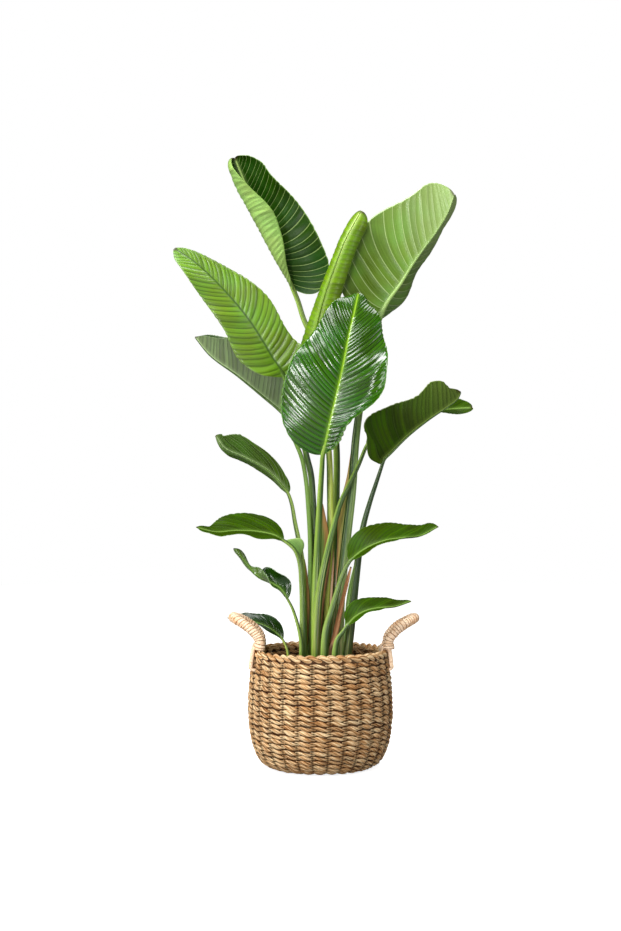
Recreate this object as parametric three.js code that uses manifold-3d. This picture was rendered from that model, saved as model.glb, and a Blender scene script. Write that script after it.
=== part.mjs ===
// A bird of paradise plant in its nursery pot, stood inside a woven seagrass basket that has two
// wrapped rope handles. Millimetres, +Z up. The basket's flat underside lies on Z = 0 with its centre
// on the Z axis, and the front leaf faces -Y. Angles in the leaf tables are degrees.
import * as THREE from 'three';
import { mergeVertices } from 'three/addons/utils/BufferGeometryUtils.js';
import Module from 'manifold-3d';

const wasm = await Module();
wasm.setup();

const clearance = 0.35; // between pieces that touch
const holeClearance = 0.5; // around a stalk where it enters the soil

const basket = {
  outline: [[106, 0], [130, 5], [149, 20], [163, 50], [171, 85], [175, 140], [172, 200], [167, 250],
    [163, 282]],
  rimTop: 285,
  rimHeight: 19,
  wall: 10,
  floor: 10,
  rows: 25,
  columns: 28, // where a row's strands lie outermost, with a dip between each two
  valley: 3.4,
  dip: 2.6,
};
const pot = { foot: 110, mouth: 145, top: 232, wall: 2.5, lip: 4, lipHeight: 8, sides: 24 };
const drain = { count: 6, radius: 7, ring: 77, sides: 10 };
const soil = { edgeTop: 214, middleTop: 221, domeShare: 0.6, holeSides: 12 };
// The wrapped rope's radius, its path from a leg on the rim to the top of the loop as shares of the
// way out, across and up, and the strap that ties each leg to the wall. slack is how far a strap stands
// off the wall's outside.
const handle = {
  rope: 11.5,
  sides: 8,
  steps: 28,
  path: [[0, 1, 0], [0, 1, 0.3], [0.25, 0.96, 0.6], [0.62, 0.78, 0.84], [0.94, 0.38, 0.98]],
  strap: { width: 12, thick: 9, low: 236, height: 5 },
  left: { side: -1, legRadius: 153, legHalf: 48, reach: 209, top: 358, slack: 0.8 },
  right: { side: 1, legRadius: 167, legHalf: 36, reach: 226, top: 356, slack: 0.8 },
};
const stalk = { foot: [150, 185, 225], third: 0.35, sides: 6 }; // foot: heights of its upright stretch
const blade = { innerThick: 1.4, edgeThick: 1, tipRadius: 1.6, endShare: 0.1, steps: 24, wide: 70 };

// One entry per leaf. foot is where the stalk stands, thick its radius at the foot, a third of the way
// up and at the blade. stalk and rib are the points the stalk and the midrib run through, and the
// blade starts at the stalk's last point. The other values run from the blade's base to its tip:
// face is the way the upper side looks, half the width of the left and right half, slant how far the
// veins lean towards the tip, fold the angle of each half at the rib, curl its bend from rib to edge,
// lip a further bend of its outer part, and wave the edge's [height, count, start]. wing is a
// sheath's open edge along the stalk.
const leaves = {
  leaf_front: {
    foot: [-13, -14],
    thick: [11, 10, 5.5],
    stalk: [[-12, -14, 400], [-7, -22, 532], [-2, -42, 633], [3, -72, 716], [5, -88, 747]],
    rib: [[17, -108, 805], [35, -122, 881], [50, -128, 948], [64, -122, 1018], [78, -104, 1080],
      [89, -74, 1130]],
    face: [[0.1, -1, 0.35], [0.1, -1, 0.25], [0.1, -1, 0.5]],
    half: [[42, 118, 125, 94, 64, 8], [16, 54, 115, 98, 66, 8]],
    slant: [-18, 22, 50],
    fold: [[4, 6, 6], [14, 8, 8]],
    curl: [[-10, -22, -20], [0, -18, -30]],
    lip: [[0], [150, 95, 0, 0]],
    wave: [[6, 3, 0], [6, 4, 0.3]],
    wing: { side: [1, 0.15, 0], top: 629, low: 305, width: [8, 22, 33, 31, 24, 18, 14] },
  },
  leaf_left_upper: {
    foot: [-20, 32],
    thick: [11, 9, 6],
    stalk: [[-20, 30, 397], [-17, 26, 588], [-19, 24, 651], [-23, 23, 701], [-34, 21, 747],
      [-46, 12, 803], [-64, -6, 874], [-85, -26, 931]],
    rib: [[-98, -38, 956], [-113, -42, 977], [-134, -50, 1012], [-176, -66, 1075],
      [-234, -84, 1141], [-292, -98, 1195], [-341, -104, 1228]],
    face: [[0.1, -1, 0.1], [0.15, -1, 0.2], [0.2, -1, 0.5]],
    half: [[10, 71, 67, 63, 53, 14], [90, 64, 73, 60, 38, 10]],
    slant: [-10, 25, 50],
    fold: [[10, 12, 12], [10, 12, 12]],
    curl: [[-10, -25, -10], [20, -30, -20]],
    wave: [[4, 3, 0], [4, 2, 0.3]],
  },
  leaf_left_lower: {
    foot: [-25, 8],
    thick: [10, 7, 5],
    stalk: [[-24, 8, 399], [-24, 8, 543], [-28, 8, 615], [-34, 0, 685], [-44, -2, 738],
      [-61, 4, 781], [-76, 15, 815], [-88, 25, 845]],
    rib: [[-102, 30, 861], [-130, 36, 884], [-201, 44, 941], [-267, 50, 989], [-305, 50, 1034]],
    face: [[0.55, -0.1, 0.8], [0.6, 0, 0.8], [0.6, 0.1, 0.7]],
    half: [[30, 85, 90, 82, 48, 8], [30, 80, 86, 84, 62, 9]],
    slant: [-5, 30, 50],
    fold: [[60, 66, 50], [60, 54, 34]],
    curl: [[20, 10, 20], [20]],
    wave: [[4, 3, 0], [4, 3, 0.3]],
  },
  leaf_top: {
    foot: [24, 34],
    thick: [11, 9, 6],
    stalk: [[26, 36, 396], [34, 42, 541], [39, 48, 662], [39, 58, 772], [26, 74, 894],
      [-9, 88, 1011], [-41, 86, 1082], [-54, 80, 1123], [-67, 72, 1155]],
    rib: [[-83, 64, 1194], [-116, 50, 1273], [-150, 38, 1344], [-176, 26, 1390], [-192, 16, 1427],
      [-206, 6, 1460]],
    face: [[0.15, -1, 0.1], [0.12, -1, 0.1], [0.1, -1, -0.1]],
    half: [[28, 62, 102, 114, 108, 62], [56, 88, 116, 112, 102, 92, 85, 78, 69, 50, 30]],
    slant: [-60, 10, 40],
    fold: [[10, 6, 10], [0, 5, 10]],
    curl: [[130, 200, 110], [30, 30, 40]],
    wave: [[3, 3, 0], [5, 3, 0.3]],
  },
  leaf_right_upper: {
    foot: [44, 4],
    thick: [13, 11.5, 7],
    stalk: [[47, 6, 399], [62, 12, 543], [76, 16, 663], [85, 20, 784], [96, 26, 868],
      [110, 32, 958], [130, 38, 1041], [145, 42, 1082]],
    rib: [[163, 44, 1119], [195, 46, 1164], [226, 46, 1214], [258, 44, 1258], [284, 40, 1293],
      [308, 34, 1332], [324, 24, 1376]],
    face: [[-0.1, 1, -0.1], [-0.1, 1, 0], [0, 1, 0.3]],
    half: [[40, 92, 96, 86, 68, 26], [46, 158, 154, 122, 98, 38]],
    slant: [-25, 20, 45],
    fold: [[62, 68, 62], [8, 6, 6]],
    curl: [[10], [-20, -15, 10]],
    wave: [[3, 3, 0], [4, 2, 0.3]],
    wing: { side: [-1, 0.1, 0], top: 755, low: 399, width: [9, 15, 24, 25, 18, 14, 11] },
  },
  leaf_rolled: {
    foot: [8, 8],
    thick: [11, 9, 6],
    stalk: [[13, 8, 399], [23, 6, 543], [23, 2, 663], [18, -4, 771], [-6, -10, 867], [-25, -12, 927]],
    rib: [[-25, -14, 979], [-11, -20, 1051], [10, -24, 1129], [37, -26, 1204], [59, -24, 1259],
      [78, -20, 1296], [98, -14, 1331]],
    face: [[0.3, 1, 0], [0.45, 1, 0.1], [0.5, 1, 0.2]],
    half: [[110, 82, 73, 65, 65, 66], [30, 70, 74, 66, 66, 66]],
    slant: [0, 10, 20],
    fold: [[10, 5, 0], [10, 5, 0]],
    curl: [[40, 110, 145, 150], [40, 110, 145, 150]],
    wing: { side: [1, 0, 0], top: 532, low: 302, width: [8, 13, 15, 15, 13, 10] },
  },
  leaf_right_middle: {
    foot: [58, -28],
    thick: [13, 11, 4.5],
    stalk: [[71, -28, 342], [84, -30, 461], [99, -34, 569], [116, -38, 633], [131, -42, 679],
      [146, -46, 725]],
    rib: [[150, -48, 738], [165, -50, 753], [206, -56, 793], [255, -62, 831], [300, -64, 861],
      [323, -64, 879], [331, -62, 895]],
    face: [[-0.75, -0.1, 0.55], [-0.6, 0, 0.75], [-0.6, -0.1, 0.75]],
    half: [[20, 80, 88, 64, 54, 20], [30, 104, 86, 66, 74, 32]],
    slant: [-20, 10, 30],
    fold: [[55, 52, 40], [60, 66, 60]],
    curl: [[10, 10, 20], [20, 10, 30]],
    wave: [[3, 3, 0], [4, 2.5, 0.2]],
    wing: { side: [-1, 0.1, 0], top: 516, low: 300, width: [2, 9, 14, 16, 14, 11] },
  },
  leaf_right_back: {
    foot: [-12, -42],
    thick: [11, 9, 4.5],
    stalk: [[-9, -44, 344], [-3, -42, 419], [17, -36, 519], [48, -24, 633], [68, -16, 675],
      [91, -6, 723], [109, 2, 766]],
    rib: [[121, 4, 790], [155, 8, 817], [204, 14, 836], [264, 20, 851], [313, 24, 858],
      [366, 26, 862]],
    face: [[-0.1, -0.5, 0.85], [-0.1, -0.5, 0.85], [-0.1, -0.8, 0.55]],
    half: [[3, 14, 30, 38, 36, 12], [3, 16, 36, 46, 42, 16]],
    slant: [0, 25, 45],
    fold: [[30, 30, 10], [30, 30, 10]],
    wave: [[3, 3, 0], [4, 2, 0.3]],
  },
  leaf_left_middle: {
    foot: [-39, -10],
    thick: [10, 8, 4],
    stalk: [[-41, -10, 340], [-42, -10, 424], [-44, -10, 491], [-51, -10, 536], [-61, -14, 585],
      [-69, -18, 630], [-78, -22, 656]],
    rib: [[-90, -24, 673], [-127, -26, 711], [-180, -28, 741], [-229, -30, 764], [-250, -30, 792]],
    face: [[0.1, 0.75, 0.6], [0.1, 0.75, 0.6], [0.2, 0.75, 0.6]],
    half: [[14, 28, 50, 59, 38, 10], [9, 14, 26, 27, 14, 5]],
    slant: [-5, 35, 45],
    fold: [[5, 8, 10], [10, 10, 5]],
    curl: [[0, 0, 10], [0]],
    wave: [[3, 2, 0], [3, 2, 0.3]],
    wing: { side: [1, 0.1, 0], top: 497, low: 292, width: [7, 12, 15, 15, 13, 11] },
  },
  leaf_left_low: {
    foot: [-41, -40],
    thick: [10, 8, 4],
    stalk: [[-42, -41, 343], [-44, -40, 426], [-50, -38, 492], [-61, -38, 521], [-75, -39, 535],
      [-88, -39, 544]],
    rib: [[-111, -44, 557], [-154, -52, 566], [-200, -61, 568], [-247, -68, 565], [-292, -74, 576]],
    face: [[0, -0.7, 0.7]],
    half: [[12, 44, 50, 46, 30, 5], [14, 54, 60, 50, 24, 5]],
    slant: [0, 35, 50],
    fold: [[28], [5, 5, 0]],
    curl: [[0], [0, -10, 0]],
    wave: [[3, 3, 0], [2, 2, 0.3]],
    wing: { side: [-0.1, 0.25, 1], top: 541, low: 498, width: [5, 19, 31, 29, 16, 6] },
  },
  leaf_crinkled: {
    foot: [-48, -58],
    thick: [6, 5, 3],
    stalk: [[-46, -60, 298], [-50, -62, 329], [-58, -64, 360], [-67, -66, 386], [-78, -68, 407]],
    rib: [[-86, -68, 420], [-97, -68, 433], [-119, -68, 446], [-143, -68, 457], [-165, -68, 475],
      [-183, -68, 499], [-205, -68, 526]],
    face: [[0.3, -0.8, 0.5], [0.2, -0.6, 0.7], [0.3, 0.9, 0.2], [0.3, 0.9, 0.2]],
    half: [[12, 26, 30, 22, 8, 14, 6], [12, 30, 34, 22, 8, 14, 6]],
    slant: [0, 25, 40],
    fold: [[20, 30, 20], [20, 30, 20]],
    curl: [[30, 50, 30], [30, 50, 30]],
    wave: [[6, 3, 0], [6, 3.5, 0.3]],
  },
  leaf_left_bottom: {
    foot: [-76, 52],
    thick: [4, 4, 3],
    stalk: [[-81, 64, 272], [-92, 77, 295]],
    rib: [[-105, 82, 308], [-122, 85, 321], [-143, 87, 331], [-172, 88, 339], [-199, 88, 343],
      [-227, 88, 347]],
    face: [[0, -0.7, 0.7]],
    half: [[6, 22, 26, 22, 12, 4], [6, 30, 34, 30, 18, 4]],
    slant: [0, 30, 45],
    fold: [[35, 40, 40], [10, 10, 0]],
    curl: [[0], [0, -20, 0]],
    wave: [[2, 3, 0], [2, 3, 0.3]],
  },
  leaf_right_low: {
    foot: [8, -64],
    thick: [10, 9, 4],
    stalk: [[12, -66, 329], [24, -68, 374], [37, -70, 419], [49, -72, 459], [69, -75, 497]],
    rib: [[78, -76, 506], [94, -78, 519], [118, -80, 533], [153, -82, 546], [193, -84, 552],
      [233, -85, 557], [275, -85, 578]],
    face: [[0, -0.7, 0.7]],
    half: [[22, 54, 58, 44, 38, 8], [10, 34, 32, 21, 17, 9]],
    slant: [0, 25, 45],
    fold: [[10, 5, 0], [35, 40, 40]],
    curl: [[0, -10, 0], [0]],
    wave: [[2, 2, 0], [2, 3, 0.3]],
  },
  leaf_right_bottom: {
    foot: [32, -84],
    thick: [9, 8, 4],
    stalk: [[38, -88, 311], [52, -90, 332], [63, -92, 348]],
    rib: [[77, -93, 364], [94, -94, 376], [113, -95, 384], [141, -96, 389], [174, -96, 392],
      [211, -96, 404]],
    face: [[0, -0.7, 0.7]],
    half: [[16, 38, 38, 30, 18, 5], [8, 24, 26, 20, 12, 4]],
    slant: [0, 25, 45],
    fold: [[10, 5, 0], [35, 40, 40]],
    curl: [[0, -10, 0], [0]],
    wave: [[2, 2, 0], [2, 3, 0.3]],
  },
  dry_sheath: {
    foot: [24, -42],
    thick: [4, 4, 4],
    stalk: [[25, -44, 291]],
    rib: [[35, -46, 318], [48, -49, 375], [61, -51, 434], [72, -52, 482]],
    face: [[-0.3, -1, 0]],
    half: [[6, 8, 9, 8, 6, 2], [5, 7, 8, 7, 5, 2]],
    slant: [0, 20],
    fold: [[20, 45], [20, 45]],
    curl: [[20, 30], [20, 30]],
    wave: [[1, 3, 0], [1, 3, 0.3]],
  },
};

const radians = THREE.MathUtils.degToRad;
const clamp01 = (value) => THREE.MathUtils.clamp(value, 0, 1);
const vector = (values) => new THREE.Vector3(...values);

// A smooth curve through evenly spaced values, read at t from 0 to 1.
function smooth(values, t) {
  if (values.length === 1) return values[0];
  const first = 2 * values[0] - values[1];
  const last = 2 * values[values.length - 1] - values[values.length - 2];
  const all = [first, ...values, last];
  const place = clamp01(t) * (values.length - 1);
  const i = Math.min(Math.floor(place), values.length - 2);
  const u = place - i;
  const [a, b, c, d] = all.slice(i, i + 4);
  return b + 0.5 * u * (c - a + u * (2 * a - 5 * b + 4 * c - d + u * (3 * (b - c) + d - a)));
}

const smoothVector = (list, t) => vector([0, 1, 2].map((k) => smooth(list.map((v) => v[k]), t)));

// A line through the points with its length measured, so that it can be read at any distance.
function route(points) {
  const perSpan = 40;
  const curve = new THREE.CatmullRomCurve3(points.map(vector), false, 'centripetal');
  const line = curve.getPoints((points.length - 1) * perSpan);
  const lengths = [0];
  for (let i = 1; i < line.length; i += 1) lengths.push(lengths[i - 1] + line[i].distanceTo(line[i - 1]));
  const total = lengths[lengths.length - 1];
  const at = (distance) => {
    const s = THREE.MathUtils.clamp(distance, 0, total);
    let i = lengths.findIndex((length) => length > s);
    if (i < 0) i = lengths.length - 1;
    const share = (s - lengths[i - 1]) / (lengths[i] - lengths[i - 1]);
    return line[i - 1].clone().lerp(line[i], share);
  };
  const along = (distance) => {
    const reach = 2;
    return at(distance + reach).sub(at(distance - reach)).normalize();
  };
  const lengthAtHeight = (z) => lengths[line.findIndex((point) => point.z >= z)];
  return { at, along, total, lengthAtHeight, lengthAtPoint: (index) => lengths[index * perSpan] };
}

// A closed solid from closed geometry: corners merged, slivers at the poles dropped, faces turned out.
function solid(geometry) {
  const bare = geometry.clone();
  bare.deleteAttribute('normal');
  bare.deleteAttribute('uv');
  const merged = mergeVertices(bare, 1e-4);
  const position = merged.getAttribute('position');
  const corner = (i) => new THREE.Vector3().fromBufferAttribute(position, i);
  const triangles = [];
  let volume = 0;
  for (let k = 0; k < merged.index.count; k += 3) {
    const [a, b, c] = [0, 1, 2].map((n) => merged.index.getX(k + n));
    if (a !== b && b !== c && c !== a) {
      triangles.push([a, b, c]);
      volume += corner(a).dot(corner(b).cross(corner(c)));
    }
  }
  const turned = volume < 0 ? triangles.map(([a, b, c]) => [a, c, b]) : triangles;
  const mesh = new wasm.Mesh({
    numProp: 3,
    vertProperties: Float32Array.from(position.array),
    triVerts: Uint32Array.from(turned.flat()),
  });
  return new wasm.Manifold(mesh);
}

function geometryOf(manifold) {
  const mesh = manifold.getMesh();
  const geometry = new THREE.BufferGeometry();
  geometry.setAttribute('position', new THREE.BufferAttribute(Float32Array.from(mesh.vertProperties), 3));
  geometry.setIndex(new THREE.BufferAttribute(Uint32Array.from(mesh.triVerts), 1));
  return geometry;
}

// Geometry whose rings of points are joined in order and closed by a flat cap at each end.
function tube(rings) {
  const sides = rings[0].length;
  const index = [];
  for (let i = 0; i < rings.length - 1; i += 1) {
    for (let j = 0; j < sides; j += 1) {
      const next = (j + 1) % sides;
      const [a, b, c, d] = [i * sides + j, i * sides + next, (i + 1) * sides + j, (i + 1) * sides + next];
      index.push(a, b, d, a, d, c);
    }
  }
  const end = (rings.length - 1) * sides;
  for (let j = 1; j < sides - 1; j += 1) index.push(0, j + 1, j, end, end + j, end + j + 1);
  return new THREE.BufferGeometry().setFromPoints(rings.flat()).setIndex(index);
}

// Geometry of a thin sheet: a grid of middle points, thickened by half of thicknessAt(row, column) on
// both sides, with its quads split alike on both faces.
function sheet(grid, thicknessAt) {
  const rows = grid.length;
  const columns = grid[0].length;
  const near = (list, i) => list[THREE.MathUtils.clamp(i, 0, list.length - 1)];
  const faces = [0.5, -0.5].map((share) => grid.flatMap((row, i) => row.map((point, j) => {
    const down = near(grid, i + 1)[j].clone().sub(near(grid, i - 1)[j]);
    const across = near(row, j + 1).clone().sub(near(row, j - 1));
    return down.cross(across).normalize().multiplyScalar(share * thicknessAt(i, j)).add(point);
  })));
  const index = [];
  const under = rows * columns;
  const quad = (a, b, c, d) => index.push(a, b, c, a, c, d);
  for (let i = 0; i < rows - 1; i += 1) {
    for (let j = 0; j < columns - 1; j += 1) {
      const a = i * columns + j;
      quad(a, a + columns, a + columns + 1, a + 1);
      index.push(under + a, under + a + columns + 1, under + a + columns);
      index.push(under + a, under + a + 1, under + a + columns + 1);
    }
  }
  const rim = [];
  for (let j = 0; j < columns - 1; j += 1) rim.push(j);
  for (let i = 0; i < rows - 1; i += 1) rim.push(i * columns + columns - 1);
  for (let j = columns - 1; j > 0; j -= 1) rim.push((rows - 1) * columns + j);
  for (let i = rows - 1; i > 0; i -= 1) rim.push(i * columns);
  rim.forEach((a, k) => {
    const b = rim[(k + 1) % rim.length];
    quad(a, b, under + b, under + a);
  });
  return new THREE.BufferGeometry().setFromPoints(faces.flat()).setIndex(index);
}

// The middle surface of a blade as a grid of points: rows from base to tip, columns from the left edge
// over the rib to the right edge. A half's section is a chain of short steps whose angle starts at the
// fold and gains the curl and the lip, laid out along the slanted vein.
function bladeGrid(leaf, line, start, rows, columns) {
  const flat = [[0], [0]];
  const { curl = flat, lip = flat, wave = [[0, 1, 0], [0, 1, 0]] } = leaf;
  const quarter = (share) => Math.sqrt(1 - (1 - clamp01(share / blade.endShare)) ** 2);
  const halves = [-1, 1].map((sign, side) => {
    const grid = [];
    for (let i = 0; i <= rows; i += 1) {
      const t = i / rows;
      const distance = start + (line.total - start) * t;
      const along = line.along(distance);
      const upper = smoothVector(leaf.face, t).projectOnPlane(along).normalize();
      const right = along.clone().cross(upper);
      const slant = radians(smooth(leaf.slant, t));
      const vein = right.multiplyScalar(sign * Math.cos(slant)).addScaledVector(along, Math.sin(slant));
      const width = Math.max(smooth(leaf.half[side], t) * quarter(t) * quarter(1 - t), 2);
      const angleAt = (v) => radians(smooth(leaf.fold[side], t) + smooth(curl[side], t) * v
        + smooth(lip[side], t) * clamp01((v - 0.6) / 0.4));
      const [height, count, phase] = wave[side];
      const swell = height * Math.sin(2 * Math.PI * (count * t + phase)) * clamp01(width / 30);
      const row = [line.at(distance)];
      let [out, up] = [0, 0];
      for (let n = 0; n < blade.steps; n += 1) {
        const angle = angleAt((n + 0.5) / blade.steps);
        out += (width * Math.cos(angle)) / blade.steps;
        up += (width * Math.sin(angle)) / blade.steps;
        const v = (n + 1) / blade.steps;
        if (Number.isInteger(Math.round(v * columns * 1e6) / 1e6)) {
          const edge = swell * v * v;
          row.push(row[0].clone()
            .addScaledVector(vein, out - Math.sin(angleAt(v)) * edge)
            .addScaledVector(upper, up + Math.cos(angleAt(v)) * edge));
        }
      }
      grid.push(row);
    }
    return grid;
  });
  return halves[0].map((left, i) => [...left.slice(1).reverse(), ...halves[1][i]]);
}

// A ring of points around a centre, in the plane of u and v.
function circle(centre, u, v, radius, sides) {
  return Array.from({ length: sides }, (_, k) => {
    const angle = (2 * Math.PI * k) / sides;
    return centre.clone().addScaledVector(u, radius * Math.cos(angle))
      .addScaledVector(v, radius * Math.sin(angle));
  });
}

// Rings around a stalk, upright at the foot; the last one tapers away inside the blade's rib.
function stalkRings(leaf, line, start, steps) {
  const [atFoot, atThird, atBlade] = leaf.thick;
  const upright = stalk.foot[2] - stalk.foot[0];
  const third = THREE.MathUtils.lerp(upright, start, stalk.third);
  const radiusAt = (s) => (s < third ? THREE.MathUtils.mapLinear(s, upright, third, atFoot, atThird)
    : THREE.MathUtils.mapLinear(s, third, start, atThird, atBlade));
  const rings = [[0, atFoot]];
  for (let k = 0; k <= steps; k += 1) {
    const s = THREE.MathUtils.lerp(upright, start, k / steps);
    rings.push([s, radiusAt(s)]);
  }
  rings.push([THREE.MathUtils.lerp(start, line.total, 0.12), atBlade * 0.3]);
  return rings.map(([s, radius]) => {
    const along = s <= upright ? vector([0, 0, 1]) : line.along(s);
    const u = vector([0, 1, 0]).cross(along).normalize();
    const v = along.clone().cross(u);
    return circle(line.at(s), u, v, radius, stalk.sides);
  });
}

// The sheath's open edge: a strip that grows sideways out of the stalk.
function wingGrid(wing, line) {
  const rows = (wing.width.length - 1) * 2;
  const top = line.lengthAtHeight(wing.top);
  const low = line.lengthAtHeight(wing.low);
  return Array.from({ length: rows + 1 }, (_, i) => {
    const t = i / rows;
    const s = top + (low - top) * t;
    const side = vector(wing.side).projectOnPlane(line.along(s)).normalize();
    return [line.at(s), line.at(s).addScaledVector(side, smooth(wing.width, t))];
  });
}

function leafLine(leaf) {
  const foot = stalk.foot.map((z) => [...leaf.foot, z]);
  const line = route([...foot, ...leaf.stalk, ...leaf.rib]);
  return { line, start: line.lengthAtPoint(foot.length + leaf.stalk.length - 1) };
}

// A whole leaf in one piece: stalk, blade with its midrib, and the sheath's edge.
function leafSolid(leaf) {
  const { line, start } = leafLine(leaf);
  const wide = Math.max(...leaf.half.flat()) > blade.wide;
  const columns = wide ? 3 : 2;
  const rows = wide ? 12 : 9;
  const thicknessAt = (i, j) => {
    const fromRib = Math.abs(j - columns);
    if (fromRib === 0) return 2 * THREE.MathUtils.lerp(leaf.thick[2] * 0.8, blade.tipRadius, i / rows);
    return fromRib === columns ? blade.edgeThick : blade.innerThick;
  };
  const stem = solid(tube(stalkRings(leaf, line, start, wide ? 11 : 8)));
  const whole = stem.add(solid(sheet(bladeGrid(leaf, line, start, rows, columns), thicknessAt)));
  if (!leaf.wing) return whole;
  const wingThickness = (i, j) => (j ? blade.edgeThick : 2 * blade.edgeThick);
  return whole.add(solid(sheet(wingGrid(leaf.wing, line), wingThickness)));
}

// A body turned about the Z axis from [radius, height] points that start and end on the axis or close
// on themselves.
function turned(profile, sides) {
  const points = profile.map(([radius, height]) => new THREE.Vector2(radius, height));
  return solid(new THREE.LatheGeometry(points, sides).rotateX(Math.PI / 2));
}

function box(width, depth, height, x, y, z) {
  return solid(new THREE.BoxGeometry(width, depth, height).translate(x, y, z));
}

function rod(radius, height, sides, x, y, z) {
  const geometry = new THREE.CylinderGeometry(radius, radius, height, sides).rotateX(Math.PI / 2);
  return solid(geometry.translate(x, y, z));
}

const basketCurve = new THREE.SplineCurve(basket.outline.map(([r, z]) => new THREE.Vector2(r, z)));

// The basket wall's outer radius at a height, without the rows' relief.
function wallRadius(z) {
  const points = basketCurve.getPoints(200);
  const top = points[points.length - 1];
  if (z >= top.y) return top.x;
  const i = Math.max(points.findIndex((point) => point.y >= z), 1);
  const [a, b] = [points[i - 1], points[i]];
  return THREE.MathUtils.mapLinear(z, a.y, b.y, a.x, b.x);
}

// The loop that ties a handle's leg to the basket: straps on both faces of the wall, joined over the
// rim and, through a slot in the weave, at the bottom.
function strapSolid(side, y, slack) {
  const { width, thick, low, height } = handle.strap;
  const { rimTop, wall, columns } = basket;
  const ring = (bottom, top, grow) => {
    const [under, over] = [wallRadius(bottom), wallRadius(rimTop)];
    const [out, back] = [slack + grow, wall + grow];
    return turned([[under - back, bottom], [under + out, bottom], [over + out, top], [over - back, top],
      [under - back, bottom]], 2 * columns);
  };
  const top = rimTop + clearance;
  const reach = 2 * (top - low);
  return ring(low, top + thick, clearance + thick).subtract(ring(low + height, top, clearance))
    .intersect(box(reach, width, reach, side * wallRadius(rimTop), y, top));
}

// A handle: wrapped rope from one leg on the rim, out and up to the top of the loop, and back down.
function handleSolid({ side, legRadius, legHalf, reach, top, slack }) {
  const foot = basket.rimTop + clearance;
  const legX = Math.sqrt(legRadius ** 2 - legHalf ** 2);
  const leg = handle.path.map(([out, across, up]) => [
    side * THREE.MathUtils.lerp(legX, reach, out), across * legHalf, THREE.MathUtils.lerp(foot, top, up)]);
  const mirrored = leg.map(([x, y, z]) => [x, -y, z]).reverse();
  const line = route([...leg, [side * reach, 0, top], ...mirrored]);
  const { steps } = handle;
  const rings = Array.from({ length: steps + 1 }, (_, i) => {
    const s = (line.total * i) / steps;
    const along = i === 0 || i === steps ? vector([0, 0, i ? -1 : 1]) : line.along(s);
    const u = vector([side * 0.5, 0, 1]).projectOnPlane(along);
    if (i < 2 || i > steps - 2) u.set(side, 0, 0).projectOnPlane(along);
    u.normalize();
    return circle(line.at(s), u, along.clone().cross(u), handle.rope, handle.sides);
  });
  return solid(tube(rings)).add(strapSolid(side, legHalf, slack)).add(strapSolid(side, -legHalf, slack));
}

// The share of the outline's length below a height.
function shareBelow(z) {
  const step = 0.001;
  let share = 0;
  while (basketCurve.getPointAt(share).y < z) share += step;
  return share;
}

// The wall's outside as [radius, height] points: the foot, then each row's crest and the valley above
// it, then the border. The crests lie dip deep.
function rowProfile(dip) {
  const { rows, valley, rimTop, rimHeight } = basket;
  const end = shareBelow(rimTop - rimHeight);
  const points = Array.from({ length: 2 * rows + 1 }, (_, i) => {
    const share = (end * i) / (2 * rows);
    const [point, tangent] = [basketCurve.getPointAt(share), basketCurve.getTangentAt(share)];
    const depth = i % 2 ? dip : valley;
    return i === 0 ? [point.x, 0] : [point.x - tangent.y * depth, point.y + tangent.x * depth];
  });
  const rim = wallRadius(rimTop);
  return [...points, [rim - dip / 2, rimTop - rimHeight * 0.7], [rim - dip / 2, rimTop - rimHeight * 0.3],
    [rim - 3, rimTop]];
}

// The basket: rows of weave outside, whose crests dip between each two columns, plain inside, with a
// slot for each handle strap.
function basketSolid() {
  const { wall, floor, rimTop, columns, dip } = basket;
  const inside = [rimTop, 250, 200, 140, 80, 50, 28].map((z) => [wallRadius(z) - wall, z]);
  const whole = (outside) => [[0, 0], ...outside, ...inside, [wallRadius(floor) - wall - 4, floor],
    [0, floor]].map(([radius, height]) => new THREE.Vector2(radius, height));
  const [crest, between] = [whole(rowProfile(0)), whole(rowProfile(dip))];
  const geometry = new THREE.LatheGeometry(crest, 2 * columns);
  const sunk = new THREE.LatheGeometry(between, 2 * columns).getAttribute('position');
  const position = geometry.getAttribute('position');
  for (let i = 0; i < position.count; i += 1) {
    const column = Math.floor(i / crest.length);
    if (column % 2) position.setXYZ(i, sunk.getX(i), sunk.getY(i), sunk.getZ(i));
  }
  let body = solid(geometry.rotateX(Math.PI / 2));
  const { width, low, height } = handle.strap;
  for (const { side, legHalf } of [handle.left, handle.right]) {
    for (const y of [legHalf, -legHalf]) {
      const slot = box(4 * wall, width + 2 * clearance, height + 2 * clearance,
        side * Math.sqrt(wallRadius(low) ** 2 - y ** 2), y, low + height / 2);
      body = body.subtract(slot);
    }
  }
  return body;
}

// The plastic nursery pot, standing on the basket's floor, with drain holes round its foot.
function potSolid() {
  const base = basket.floor + clearance;
  const { foot, mouth, top, wall, lip, lipHeight, sides } = pot;
  const outer = (z) => THREE.MathUtils.mapLinear(z, base, top, foot, mouth);
  let body = turned([[0, base], [foot, base], [outer(top - lipHeight), top - lipHeight],
    [outer(top - lipHeight) + lip, top - lipHeight], [mouth + lip, top], [mouth - wall, top],
    [foot - wall, base + wall], [0, base + wall]], sides);
  for (let k = 0; k < drain.count; k += 1) {
    const angle = (2 * Math.PI * k) / drain.count;
    const [x, y] = [drain.ring * Math.cos(angle), drain.ring * Math.sin(angle)];
    body = body.subtract(rod(drain.radius, 4 * wall, drain.sides, x, y, base));
  }
  return body;
}

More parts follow.
